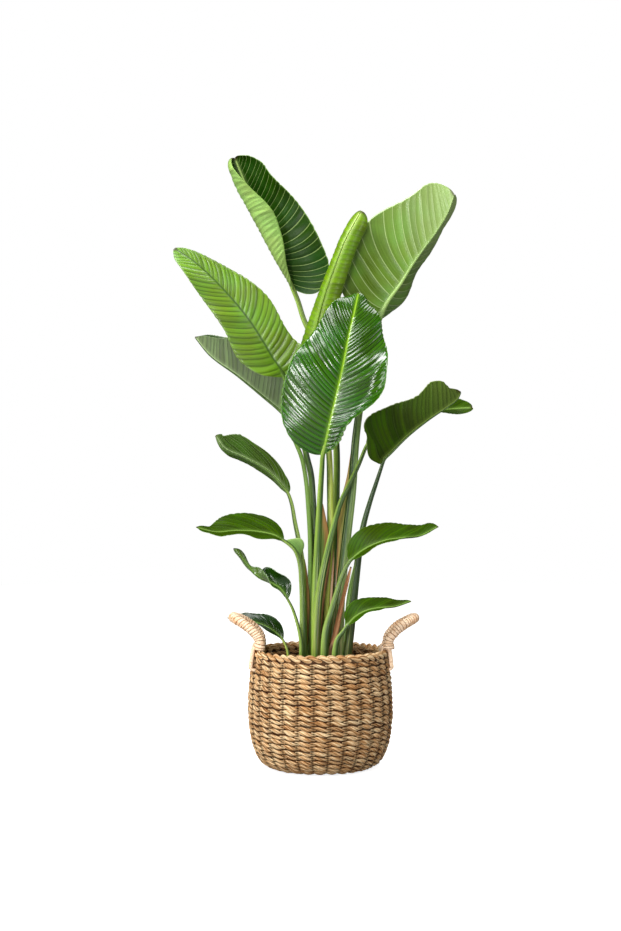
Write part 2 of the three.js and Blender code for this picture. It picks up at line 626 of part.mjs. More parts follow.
// The soil that fills the pot, with a plain hole for each stalk.
function soilSolid() {
  const base = basket.floor + 2 * clearance + pot.wall;
  const inner = (z) => (THREE.MathUtils.mapLinear(z, basket.floor, pot.top, pot.foot, pot.mouth)
    - pot.wall - clearance);
  const { edgeTop, middleTop, domeShare, holeSides } = soil;
  let body = turned([[0, base], [inner(base) - 0.2, base], [inner(edgeTop), edgeTop],
    [inner(edgeTop) * domeShare, middleTop - 1], [0, middleTop]], pot.sides);
  const bottom = stalk.foot[0] - clearance;
  const depth = middleTop + clearance - bottom;
  for (const { foot: [x, y], thick: [radius] } of Object.values(leaves)) {
    const around = (radius + holeClearance) / Math.cos(Math.PI / holeSides);
    body = body.subtract(rod(around, depth, holeSides, x, y, bottom + depth / 2));
  }
  return body;
}

const looks = {
  seagrass: { color: 0xc9a173, roughness: 0.85, metalness: 0 },
  rope: { color: 0xe3c2a0, roughness: 0.8, metalness: 0 },
  potPlastic: { color: 0x1d1e20, roughness: 0.5, metalness: 0 },
  earth: { color: 0x3a2a1e, roughness: 1, metalness: 0 },
  dryLeaf: { color: 0xa06c48, roughness: 0.7, metalness: 0 },
};
const greens = {
  leaf_front: 0x3f7a1e,
  leaf_left_upper: 0x6f9a3a,
  leaf_left_lower: 0x6c8456,
  leaf_top: 0x356018,
  leaf_right_upper: 0x76955a,
  leaf_rolled: 0x8fb53a,
  leaf_right_middle: 0x4c6a2c,
};
const otherGreen = 0x47702c;

const plant = new THREE.Group();

function place(name, manifold, look) {
  const mesh = new THREE.Mesh(geometryOf(manifold), new THREE.MeshStandardMaterial(look));
  mesh.name = name;
  plant.add(mesh);
}

place('basket', basketSolid(), looks.seagrass);
place('basket_handle_left', handleSolid(handle.left), looks.rope);
place('basket_handle_right', handleSolid(handle.right), looks.rope);
place('nursery_pot', potSolid(), looks.potPlastic);
place('soil', soilSolid(), looks.earth);
for (const [name, leaf] of Object.entries(leaves)) {
  const green = { color: greens[name] ?? otherGreen, roughness: 0.4, metalness: 0 };
  place(name, leafSolid(leaf), name === 'dry_sheath' ? looks.dryLeaf : green);
}

export default plant;
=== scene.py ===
# A potted bird of paradise: large paddle leaves on tall stalks, grown in a nursery pot that stands
# inside a twined seagrass basket with two wrapped rope handles. Shapes are worked out in millimetres
# and scaled to metres when their mesh is made.
import math
import bpy
import numpy as np
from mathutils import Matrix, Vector


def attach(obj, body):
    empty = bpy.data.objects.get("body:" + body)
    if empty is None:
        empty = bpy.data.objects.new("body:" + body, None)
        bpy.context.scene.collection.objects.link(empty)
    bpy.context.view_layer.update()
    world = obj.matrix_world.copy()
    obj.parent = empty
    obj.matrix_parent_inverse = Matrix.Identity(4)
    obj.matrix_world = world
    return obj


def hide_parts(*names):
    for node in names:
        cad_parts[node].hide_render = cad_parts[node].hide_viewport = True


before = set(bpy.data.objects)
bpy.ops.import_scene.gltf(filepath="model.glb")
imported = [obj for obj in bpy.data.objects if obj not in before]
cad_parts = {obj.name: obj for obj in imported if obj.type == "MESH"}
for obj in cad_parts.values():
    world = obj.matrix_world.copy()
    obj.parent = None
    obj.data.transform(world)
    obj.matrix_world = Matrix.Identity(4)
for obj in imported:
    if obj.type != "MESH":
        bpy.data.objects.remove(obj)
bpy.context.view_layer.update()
millimetre = 0.001
up = np.array([0.0, 0.0, 1.0])


# Catmull-Rom through evenly spaced values, read at t from 0 to 1; both ends are carried on straight.
def smoothValues(values, t):
    v = np.asarray(values, float)
    t = np.asarray(t, float)
    if len(v) == 1:
        return np.broadcast_to(v[0], t.shape + v.shape[1:])
    v = np.concatenate([[2 * v[0] - v[1]], v, [2 * v[-1] - v[-2]]])
    place = np.clip(t, 0, 1) * (len(v) - 3)
    i = np.minimum(place.astype(int), len(v) - 4)
    u = (place - i).reshape(place.shape + (1,) * (v.ndim - 1))
    a, b, c, d = v[i], v[i + 1], v[i + 2], v[i + 3]
    return b + 0.5 * u * (c - a + u * (2 * a - 5 * b + 4 * c - d + u * (3 * (b - c) + d - a)))


# Each vector over its own length.
def unit(vectors):
    return vectors / np.linalg.norm(vectors, axis=-1, keepdims=True)


# What is left of each vector less its share along the axis, made one long.
def squareTo(vectors, axis):
    return unit(vectors - (vectors * axis).sum(-1, keepdims=True) * axis)


# Angles of evenly spaced places round a circle.
def circle(count):
    return 2 * np.pi * np.arange(count) / count


# A profile of (radius, height) points swept round the Z axis, one ring of points for each.
def revolve(profile, angle):
    profile = np.asarray(profile, float).reshape(len(profile), -1, 2)
    radius, height = profile[..., 0], profile[..., 1]
    return np.stack(np.broadcast_arrays(radius * np.cos(angle), radius * np.sin(angle), height), -1)


# Rings round centres, at every angle: centre + first * wide * cosine + second * tall * sine. Cosine and
# sine keep their sign and are raised to the power, which below 1 makes a ring squarer.
def ringsRound(centre, first, second, wide, tall, angle, power=1):
    cosine, sine = (np.sign(f(angle)) * np.abs(f(angle)) ** power for f in (np.cos, np.sin))
    return (centre[:, None] + first[:, None] * (wide * cosine)[..., None]
            + second[:, None] * (tall * sine)[..., None])


# A line through points: each span is a cubic whose end slopes weigh the neighbours by the square root
# of their distance. Kept as dense points with the length up to each, so it is read by distance.
class Route:
    def __init__(self, points, perSpan=40):
        p = np.asarray(points, float)
        q = np.concatenate([[2 * p[0] - p[1]], p, [2 * p[-1] - p[-2]]])
        g = np.sqrt(np.linalg.norm(np.diff(q, axis=0), axis=1))[:, None]
        a, b, c, d = q[:-3], q[1:-2], q[2:-1], q[3:]
        g0, g1, g2 = g[:-2], g[1:-1], g[2:]
        leave = ((b - a) / g0 - (c - a) / (g0 + g1) + (c - b) / g1) * g1
        arrive = ((c - b) / g1 - (d - b) / (g1 + g2) + (d - c) / g2) * g1
        u = (np.arange(perSpan) / perSpan)[None, :, None]
        b, c, leave, arrive = b[:, None], c[:, None], leave[:, None], arrive[:, None]
        line = ((2 * u**3 - 3 * u**2 + 1) * b + (u**3 - 2 * u**2 + u) * leave
                + (3 * u**2 - 2 * u**3) * c + (u**3 - u**2) * arrive)
        self.line = np.concatenate([line.reshape(-1, 3), p[-1:]])
        self.lengths = np.append(0, np.cumsum(np.linalg.norm(np.diff(self.line, axis=0), axis=1)))
        self.total = self.lengths[-1]
        self.perSpan = perSpan

    # The point at a distance along the line.
    def at(self, s):
        return np.stack([np.interp(s, self.lengths, self.line[:, k]) for k in range(3)], -1)

    # The line's direction, from reach behind a distance to reach ahead of it, made one long.
    def along(self, s):
        reach = 2
        return unit(self.at(s + reach) - self.at(s - reach))

    # The distance up to one of the points that the line was made from.
    def lengthAtPoint(self, index):
        return self.lengths[index * self.perSpan]

    # The distance at which the line first comes to a height.
    def lengthAtHeight(self, z):
        return self.lengths[np.argmax(self.line[:, 2] >= z)]


# Quads between neighbouring grid points, as corner numbers and as (row, column) steps that run on past
# a seam. wrapRows or wrapColumns closes the grid onto itself.
def gridQuads(rows, columns, wrapRows=False, wrapColumns=False):
    i = np.arange(rows if wrapRows else rows - 1)[:, None]
    j = np.arange(columns if wrapColumns else columns - 1)[None, :]
    corners = [(i, j), (i, j + 1), (i + 1, j + 1), (i + 1, j)]
    steps = np.stack([np.stack(np.broadcast_arrays(r, c), -1) for r, c in corners], -2)
    steps = steps.reshape(-1, 4, 2)
    return (steps[..., 0] % rows) * columns + steps[..., 1] % columns, steps


# The parts of one piece: points, faces with their uv at each corner, a material number and named
# values at the points.
class Shape:
    def __init__(self):
        self.points, self.faces, self.uvs, self.looks = [], [], [], []
        self.values = {}
        self.count = 0

    # More points, and the faces between them. Points that no value is given for have 0.
    def add(self, points, faces, uvs=None, look=0, **values):
        grid = np.shape(points)[:-1]
        self.points.append(np.asarray(points, float).reshape(-1, 3))
        uvs = uvs if uvs is not None else [np.zeros(f.shape + (2,)) for f in faces]
        for face, uv in zip(faces, uvs):
            self.faces.append(face + self.count)
            self.uvs.append(uv)
            self.looks.append(np.full(len(face), look))
        for name in dict.fromkeys([*self.values, *values]):
            before = self.values.setdefault(name, [np.zeros(self.count)])
            before.append(np.broadcast_to(values.get(name, 0.0), grid).ravel())
        self.count += len(self.points[-1])

    # One object of all the parts, scaled to metres, that rides on the root.
    def piece(self, name, materials, slot, replaced=()):
        mesh = bpy.data.meshes.new(name)
        points = np.concatenate(self.points) * millimetre
        sizes = np.concatenate([np.full(len(f), f.shape[1]) for f in self.faces])
        loops = np.concatenate([f.ravel() for f in self.faces])
        starts = (np.cumsum(sizes) - sizes).astype(np.int32)
        for part, key, values in ((mesh.vertices, "co", points.astype(np.float32)),
                                  (mesh.loops, "vertex_index", loops.astype(np.int32)),
                                  (mesh.polygons, "loop_start", starts)):
            part.add(len(values))
            part.foreach_set(key, values.ravel())
        mesh.polygons.foreach_set("material_index", np.concatenate(self.looks).astype(np.int32))
        uvs = np.concatenate([uv.reshape(-1, 2) for uv in self.uvs]).astype(np.float32)
        mesh.uv_layers.new(name="UVMap").data.foreach_set("uv", uvs.ravel())
        for key, value in self.values.items():
            values = np.concatenate(value).astype(np.float32)
            mesh.attributes.new(key, "FLOAT", "POINT").data.foreach_set("value", values)
        mesh.update(calc_edges=True)
        mesh.validate()
        mesh.shade_smooth()
        piece = bpy.data.objects.new(name, mesh)
        bpy.context.scene.collection.objects.link(piece)
        for material in materials:
            mesh.materials.append(material)
        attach(piece, "root")
        if replaced:
            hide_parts(*replaced)
        return piece


# Faces of a tube given as rings of points: quads round it, and a fan to a middle point at each end.
# The uv is the distance along the tube and the share of the way round.
def addTube(shape, rings, distance, look=0, **values):
    rows, sides = rings.shape[:2]
    quads, steps = gridQuads(rows, sides, wrapColumns=True)
    uv = np.stack([distance[steps[..., 0]] * millimetre, steps[..., 1] / sides], -1)
    k = np.arange(sides)
    n = rows * sides
    after = (k + 1) % sides
    ends = np.concatenate([np.stack([after, k, np.full(sides, n)], -1),
                           np.stack([n - sides + k, n - sides + after, np.full(sides, n + 1)], -1)])
    points = np.concatenate([rings.reshape(-1, 3), rings[[0, -1]].mean(1).round(9)])
    grids = {name: np.broadcast_to(value, (rows, sides)) for name, value in values.items()}
    values = {name: np.append(grid, grid[[0, -1], 0]) for name, grid in grids.items()}
    shape.add(points, [quads, ends], [uv, np.zeros(ends.shape + (2,))], look, **values)


# Faces of a tube closed onto itself, given as rings of points: length is its way round, start is where
# its uv begins, and flip turns its faces over.
def addLoop(shape, rings, length, start=0.0, flip=False, **values):
    rows, sides = rings.shape[:2]
    quads, steps = gridQuads(rows, sides, wrapRows=True, wrapColumns=True)
    if flip:
        quads, steps = quads[:, ::-1], steps[:, ::-1]
    uv = np.stack([steps[..., 0] * length / rows * millimetre + start, steps[..., 1] / sides], -1)
    shape.add(rings, [quads], [uv], **values)


# A closed thin sheet over a grid of middle points: both faces stand half the thickness off along the
# grid's normal and are lifted together by relief, and a band of quads closes the edge. The grid's
# rows run from base to tip and its columns from left to right of the upper side.
def addSheet(shape, middle, thickness, relief, uvGrid, look=0, **values):
    rows, columns = middle.shape[:2]
    normal = unit(np.cross(np.gradient(middle, axis=1), np.gradient(middle, axis=0)))
    sides = np.stack([middle + normal * (relief + sign * thickness / 2)[..., None] for sign in (1, -1)])
    quads, _ = gridQuads(rows, columns)
    n = rows * columns
    index = np.arange(n).reshape(rows, columns)
    edge = np.concatenate([index[0, ::-1], index[1:, 0], index[-1, 1:], index[-2:0:-1, -1]])
    after = np.roll(edge, -1)
    band = np.stack([edge, after, after + n, edge + n], -1)
    faces = np.concatenate([quads, quads[:, ::-1] + n, band])
    uv = np.concatenate([uvGrid.reshape(-1, 2)] * 2)[faces]
    shape.add(sides, [faces], [uv], look, upper=np.array([1.0, 0.0])[:, None, None], **values)


# What a leaf has where its own values say nothing else. face is the upper side's direction from base to
# tip and slant the lean of the veins; half, fold, curl, lip and wave have a value for either half.
leafUsual = dict(
    slot="leaf_green", stem="fresh", sheath="fresh", thick=[11, 9, 6], face=[[0, -0.7, 0.7]],
    slant=[0, 25, 45], curl=[[0], [0]], lip=[[0], [0]], wave=[[3, 3, 0], [4, 2, 0.3]])
leafTable = {
    "frontLeaf": dict(
        node="leaf_front", slot="leaf_glossy", blade="glossy", stem="green", sheath="brown", pleats=1.4,
        pitch=10.5, rake=0.34, foot=[-13, -14], thick=[11, 10, 5.5],
        stalk=[[-12, -14, 400], [-7, -22, 532], [-2, -42, 633], [3, -72, 716], [5, -88, 747]],
        rib=[[17, -108, 805], [35, -122, 881], [50, -128, 948], [64, -122, 1018], [78, -104, 1080],
            [89, -74, 1130]], face=[[0.1, -1, 0.35], [0.1, -1, 0.25], [0.1, -1, 0.5]],
        half=[[42, 118, 125, 94, 64, 8], [16, 54, 115, 98, 66, 8]], slant=[-18, 22, 50],
        fold=[[4, 6, 6], [14, 8, 8]], curl=[[-10, -22, -20], [0, -18, -30]], lip=[[0], [150, 95, 0, 0]],
        wave=[[6, 3, 0], [6, 4, 0.3]],
        wing=dict(side=[1, 0.15, 0], top=629, low=305, width=[8, 22, 33, 31, 24, 18, 14])),
    "upperLeftLeaf": dict(
        node="leaf_left_upper", slot="leaf_young", blade="banded", stem="dark", pleats=1.25, pitch=14.5,
        rake=0.2, foot=[-20, 32],
        stalk=[[-20, 30, 397], [-17, 26, 588], [-19, 24, 651], [-23, 23, 701], [-34, 21, 747],
            [-46, 12, 803], [-64, -6, 874], [-85, -26, 931]],
        rib=[[-98, -38, 956], [-113, -42, 977], [-134, -50, 1012], [-176, -66, 1075], [-234, -84, 1141],
            [-292, -98, 1195], [-341, -104, 1228]],
        face=[[0.1, -1, 0.1], [0.15, -1, 0.2], [0.2, -1, 0.5]],
        half=[[10, 71, 67, 63, 53, 14], [90, 64, 73, 60, 38, 10]], slant=[-10, 25, 50],
        fold=[[10, 12, 12], [10, 12, 12]], curl=[[-10, -25, -10], [20, -30, -20]],
        wave=[[4, 3, 0], [4, 2, 0.3]]),
    "lowerLeftLeaf": dict(
        node="leaf_left_lower", slot="leaf_underside", blade="grey", stem="dark", pleats=1.2,
        pitch=12.5, rake=0.3, foot=[-25, 8], thick=[10, 7, 5],
        stalk=[[-24, 8, 399], [-24, 8, 543], [-28, 8, 615], [-34, 0, 685], [-44, -2, 738], [-61, 4, 781],
            [-76, 15, 815], [-88, 25, 845]],
        rib=[[-102, 30, 861], [-130, 36, 884], [-201, 44, 941], [-267, 50, 989], [-305, 50, 1034]],
        face=[[0.55, -0.1, 0.8], [0.6, 0, 0.8], [0.6, 0.1, 0.7]],
        half=[[30, 85, 90, 82, 48, 8], [30, 80, 86, 84, 62, 9]], slant=[-5, 30, 50],
        fold=[[60, 66, 50], [60, 54, 34]], curl=[[20, 10, 20], [20]], wave=[[4, 3, 0], [4, 3, 0.3]]),
    "topLeaf": dict(
        node="leaf_top", blade="pale", stem="green", pleats=0.9, pitch=12.5, rake=0.1, foot=[24, 34],
        stalk=[[26, 36, 396], [34, 42, 541], [39, 48, 662], [39, 58, 772], [26, 74, 894], [-9, 88, 1011],
            [-41, 86, 1082], [-54, 80, 1123], [-67, 72, 1155]],
        rib=[[-83, 64, 1194], [-116, 50, 1273], [-150, 38, 1344], [-176, 26, 1390], [-192, 16, 1427],
            [-206, 6, 1460]], face=[[0.15, -1, 0.1], [0.12, -1, 0.1], [0.1, -1, -0.1]],
        half=[[28, 62, 102, 114, 108, 62], [56, 88, 116, 112, 102, 92, 85, 78, 69, 50, 30]],
        slant=[-60, 10, 40], fold=[[10, 6, 10], [0, 5, 10]], curl=[[130, 200, 110], [30, 30, 40]],
        wave=[[3, 3, 0], [5, 3, 0.3]]),
    "upperRightLeaf": dict(
        node="leaf_right_upper", slot="leaf_underside", blade="veined", stem="blue", sheath="straw",
        pleats=1, pitch=19.5, rake=0.25, foot=[44, 4], thick=[13, 11.5, 7],
        stalk=[[47, 6, 399], [62, 12, 543], [76, 16, 663], [85, 20, 784], [96, 26, 868], [110, 32, 958],
            [130, 38, 1041], [145, 42, 1082]],
        rib=[[163, 44, 1119], [195, 46, 1164], [226, 46, 1214], [258, 44, 1258], [284, 40, 1293],
            [308, 34, 1332], [324, 24, 1376]], face=[[-0.1, 1, -0.1], [-0.1, 1, 0], [0, 1, 0.3]],
        half=[[40, 92, 96, 86, 68, 26], [46, 158, 154, 122, 98, 38]], slant=[-25, 20, 45],
        fold=[[62, 68, 62], [8, 6, 6]], curl=[[10], [-20, -15, 10]],
        wing=dict(side=[-1, 0.1, 0], top=755, low=399, width=[9, 15, 24, 25, 18, 14, 11])),
    "rolledLeaf": dict(
        node="leaf_rolled", slot="leaf_young", blade="young", stem="yellow", sheath="pink", pleats=0.7,
        pitch=12.5, rake=0, foot=[8, 8],
        stalk=[[13, 8, 399], [23, 6, 543], [23, 2, 663], [18, -4, 771], [-6, -10, 867], [-25, -12, 927]],
        rib=[[-25, -14, 979], [-11, -20, 1051], [10, -24, 1129], [37, -26, 1204], [59, -24, 1259],
            [78, -20, 1296], [98, -14, 1331]], face=[[0.3, 1, 0], [0.45, 1, 0.1], [0.5, 1, 0.2]],
        half=[[110, 82, 73, 65, 65, 66], [30, 70, 74, 66, 66, 66]], slant=[0, 10, 20],
        fold=[[10, 5, 0], [10, 5, 0]], curl=[[40, 110, 145, 150], [40, 110, 145, 150]],
        wave=[[0, 0, 0], [0, 0, 0]],
        wing=dict(side=[1, 0, 0], top=532, low=302, width=[8, 13, 15, 15, 13, 10])),
    "middleRightLeaf": dict(
        node="leaf_right_middle", blade="olive", stem="dark", pleats=1.3, pitch=11.5, rake=0.3,
        foot=[58, -28], thick=[13, 11, 4.5],
        stalk=[[71, -28, 342], [84, -30, 461], [99, -34, 569], [116, -38, 633], [131, -42, 679],
            [146, -46, 725]],
        rib=[[150, -48, 738], [165, -50, 753], [206, -56, 793], [255, -62, 831], [300, -64, 861],
            [323, -64, 879], [331, -62, 895]],
        face=[[-0.75, -0.1, 0.55], [-0.6, 0, 0.75], [-0.6, -0.1, 0.75]],
        half=[[20, 80, 88, 64, 54, 20], [30, 104, 86, 66, 74, 32]], slant=[-20, 10, 30],
        fold=[[55, 52, 40], [60, 66, 60]], curl=[[10, 10, 20], [20, 10, 30]],
        wave=[[3, 3, 0], [4, 2.5, 0.2]],
        wing=dict(side=[-1, 0.1, 0], top=516, low=300, width=[2, 9, 14, 16, 14, 11])),
    "backRightLeaf": dict(
        node="leaf_right_back", blade="deep", stem="green", pleats=0.7, pitch=8, rake=0.5,
        foot=[-12, -42], thick=[11, 9, 4.5],
        stalk=[[-9, -44, 344], [-3, -42, 419], [17, -36, 519], [48, -24, 633], [68, -16, 675],
            [91, -6, 723], [109, 2, 766]],
        rib=[[121, 4, 790], [155, 8, 817], [204, 14, 836], [264, 20, 851], [313, 24, 858],
            [366, 26, 862]], face=[[-0.1, -0.5, 0.85], [-0.1, -0.5, 0.85], [-0.1, -0.8, 0.55]],
        half=[[3, 14, 30, 38, 36, 12], [3, 16, 36, 46, 42, 16]], fold=[[30, 30, 10], [30, 30, 10]]),
    "middleLeftLeaf": dict(
        node="leaf_left_middle", blade="streaked", sheath="brown", pleats=0.9, pitch=13, rake=1.2,
        foot=[-39, -10], thick=[10, 8, 4],
        stalk=[[-41, -10, 340], [-42, -10, 424], [-44, -10, 491], [-51, -10, 536], [-61, -14, 585],
            [-69, -18, 630], [-78, -22, 656]],
        rib=[[-90, -24, 673], [-127, -26, 711], [-180, -28, 741], [-229, -30, 764], [-250, -30, 792]],
        face=[[0.1, 0.75, 0.6], [0.1, 0.75, 0.6], [0.2, 0.75, 0.6]],
        half=[[14, 28, 50, 59, 38, 10], [9, 14, 26, 27, 14, 5]], slant=[-5, 35, 45],
        fold=[[5, 8, 10], [10, 10, 5]], curl=[[0, 0, 10], [0]], wave=[[3, 2, 0], [3, 2, 0.3]],
        wing=dict(side=[1, 0.1, 0], top=497, low=292, width=[7, 12, 15, 15, 13, 11])),
    "lowLeftLeaf": dict(
        node="leaf_left_low", blade="deep", pleats=0.9, pitch=12, rake=1.1, foot=[-41, -40],
        thick=[10, 8, 4],
        stalk=[[-42, -41, 343], [-44, -40, 426], [-50, -38, 492], [-61, -38, 521], [-75, -39, 535],
            [-88, -39, 544]],
        rib=[[-111, -44, 557], [-154, -52, 566], [-200, -61, 568], [-247, -68, 565], [-292, -74, 576]],
        half=[[12, 44, 50, 46, 30, 5], [14, 54, 60, 50, 24, 5]], slant=[0, 35, 50],
        fold=[[28], [5, 5, 0]], curl=[[0], [0, -10, 0]], wave=[[3, 3, 0], [2, 2, 0.3]],
        wing=dict(side=[-0.1, 0.25, 1], top=541, low=498, width=[5, 19, 31, 29, 16, 6])),
    "crinkledLeaf": dict(
        node="leaf_crinkled", blade="wet", pleats=0.5, pitch=7, rake=0.7, foot=[-48, -58],
        thick=[6, 5, 3],
        stalk=[[-46, -60, 298], [-50, -62, 329], [-58, -64, 360], [-67, -66, 386], [-78, -68, 407]],
        rib=[[-86, -68, 420], [-97, -68, 433], [-119, -68, 446], [-143, -68, 457], [-165, -68, 475],
            [-183, -68, 499], [-205, -68, 526]],
        face=[[0.3, -0.8, 0.5], [0.2, -0.6, 0.7], [0.3, 0.9, 0.2], [0.3, 0.9, 0.2]],
        half=[[12, 26, 30, 22, 8, 14, 6], [12, 30, 34, 22, 8, 14, 6]], slant=[0, 25, 40],
        fold=[[20, 30, 20], [20, 30, 20]], curl=[[30, 50, 30], [30, 50, 30]],
        wave=[[6, 3, 0], [6, 3.5, 0.3]]),
    "bottomLeftLeaf": dict(
        node="leaf_left_bottom", blade="wet", stem="yellow", pleats=0.6, pitch=8, rake=0.8,
        foot=[-76, 52], thick=[4, 4, 3], stalk=[[-81, 64, 272], [-92, 77, 295]],
        rib=[[-105, 82, 308], [-122, 85, 321], [-143, 87, 331], [-172, 88, 339], [-199, 88, 343],
            [-227, 88, 347]], half=[[6, 22, 26, 22, 12, 4], [6, 30, 34, 30, 18, 4]], slant=[0, 30, 45],
        fold=[[35, 40, 40], [10, 10, 0]], curl=[[0], [0, -20, 0]], wave=[[2, 3, 0], [2, 3, 0.3]]),
    "lowRightLeaf": dict(
        node="leaf_right_low", slot="leaf_glossy", blade="deep", pleats=0.9, pitch=12, rake=0.8,
        foot=[8, -64], thick=[10, 9, 4],
        stalk=[[12, -66, 329], [24, -68, 374], [37, -70, 419], [49, -72, 459], [69, -75, 497]],
        rib=[[78, -76, 506], [94, -78, 519], [118, -80, 533], [153, -82, 546], [193, -84, 552],
            [233, -85, 557], [275, -85, 578]], half=[[22, 54, 58, 44, 38, 8], [10, 34, 32, 21, 17, 9]],
        fold=[[10, 5, 0], [35, 40, 40]], curl=[[0, -10, 0], [0]], wave=[[2, 2, 0], [2, 3, 0.3]]),
    "bottomRightLeaf": dict(
        node="leaf_right_bottom", slot="leaf_glossy", blade="deep", pleats=0.8, pitch=10, rake=0.9,
        foot=[32, -84], thick=[9, 8, 4], stalk=[[38, -88, 311], [52, -90, 332], [63, -92, 348]],
        rib=[[77, -93, 364], [94, -94, 376], [113, -95, 384], [141, -96, 389], [174, -96, 392],
            [211, -96, 404]], half=[[16, 38, 38, 30, 18, 5], [8, 24, 26, 20, 12, 4]],
        fold=[[10, 5, 0], [35, 40, 40]], curl=[[0, -10, 0], [0]], wave=[[2, 2, 0], [2, 3, 0.3]]),
    "drySheath": dict(
        node="dry_sheath", slot="dry_leaf", blade="dry", stem="dry", pleats=0.5, pitch=9, rake=2,
        foot=[24, -42], thick=[4, 4, 4], stalk=[[25, -44, 291]],
        rib=[[35, -46, 318], [48, -49, 375], [61, -51, 434], [72, -52, 482]], face=[[-0.3, -1, 0]],
        half=[[6, 8, 9, 8, 6, 2], [5, 7, 8, 7, 5, 2]], slant=[0, 20], fold=[[20, 45], [20, 45]],
        curl=[[20, 30], [20, 30]], wave=[[1, 3, 0], [1, 3, 0.3]]),
}


# The pleats wander by waves of (height, length, turn), and the blade ripples across its edge. Fades are
# the distance or the share over which the pleats die out.
leafForm = dict(
    footHeights=[150, 185, 225], thirdShare=0.35, endShare=0.1, sectionSteps=96, lipStart=0.6,
    waveWidth=30, rowSpacing=1.75, rowCrowding=0.1, nearRib=[0.5, 1.0, 1.5], columnSpacing=5.5,
    columnsPerPleat=4, thick=0.9, pleatPitch=12.5, pleatDepth=1.5, pleatPower=0.75, veinBend=14,
    fullWidth=60, edgeBite=1.2, wander=[[2.4, 23, 1], [1.7, 8.7, 2]],
    ripple=dict(height=1.1, length=31, turn=3.1), fades=dict(rib=10, edge=0.1, tip=0.22), ribTip=1.0,
    ribShare=0.8, ribPower=0.8, ribEase=0.08, ribSink=0.7, stemSides=20, stemStep=6, groove=0.3,
    grooveWidth=0.55, wingSteps=[90, 12], wingThick=[1.9, 0.7])


# One half of a blade, out from the rib. Its section is a chain of short steps whose angle begins at the
# fold and gains the curl, and the lip near the edge: x and y are the running sums of cosine and sine.
# The point is rib + vein * x + upper * y, with the vein leaning towards the tip by the slant, and the
# wave lifts the edge. across holds each column's share of the way from the rib to the edge.
def bladeHalf(leaf, side, t, across, width, rib, along, upper):
    steps, lipStart = leafForm["sectionSteps"], leafForm["lipStart"]
    fold, curl, lip = (smoothValues(leaf[key][side], t)[:, None] for key in ("fold", "curl", "lip"))

    def angle(v):
        return np.radians(fold + curl * v + lip * np.clip((v - lipStart) / (1 - lipStart), 0, 1))

    middles = (np.arange(steps) + 0.5)[None, :] / steps
    sums = [np.concatenate([np.zeros((len(t), 1)), np.cumsum(f(angle(middles)), axis=1)], 1) / steps
            for f in (np.cos, np.sin)]
    place = across * steps
    i = np.minimum(place.astype(int), steps - 1)
    share = place - i
    x, y = [np.take_along_axis(s, i, 1) * (1 - share) + np.take_along_axis(s, i + 1, 1) * share
            for s in sums]
    height, count, start = leaf["wave"][side]
    swell = height * np.sin(2 * np.pi * (count * t + start))
    swell = (swell * np.clip(width / leafForm["waveWidth"], 0, 1))[:, None] * across**2
    x = x * width[:, None] - np.sin(angle(across)) * swell
    y = y * width[:, None] + np.cos(angle(across)) * swell
    slant = np.radians(smoothValues(leaf["slant"], t))[:, None]
    vein = (-1, 1)[side] * np.cos(slant) * np.cross(along, upper) + np.sin(slant) * along
    return rib[:, None] + vein[:, None] * x[..., None] + upper[:, None] * y[..., None]


# How many pleats lie before a point. A pleat leans and bends towards the tip, so its place is the
# distance along the rib less rake * reach and less a bend that grows with across squared, and two slow
# sines wander it.
def pleatCount(leaf, distance, reach, across, wide):
    place = distance - leafForm["veinBend"] * across**2 * wide - leaf["rake"] * np.abs(reach)
    wander = sum(height * np.sin(place / length + turn * leaf["seed"])
                 for height, length, turn in leafForm["wander"])
    return (place + wander) / leaf["pitch"]


# The height of a pleat over its valleys: a sine's size to a power, round on top and narrow below.
def pleatShape(count):
    return (np.abs(np.sin(np.pi * count)) + 0.01) ** leafForm["pleatPower"]


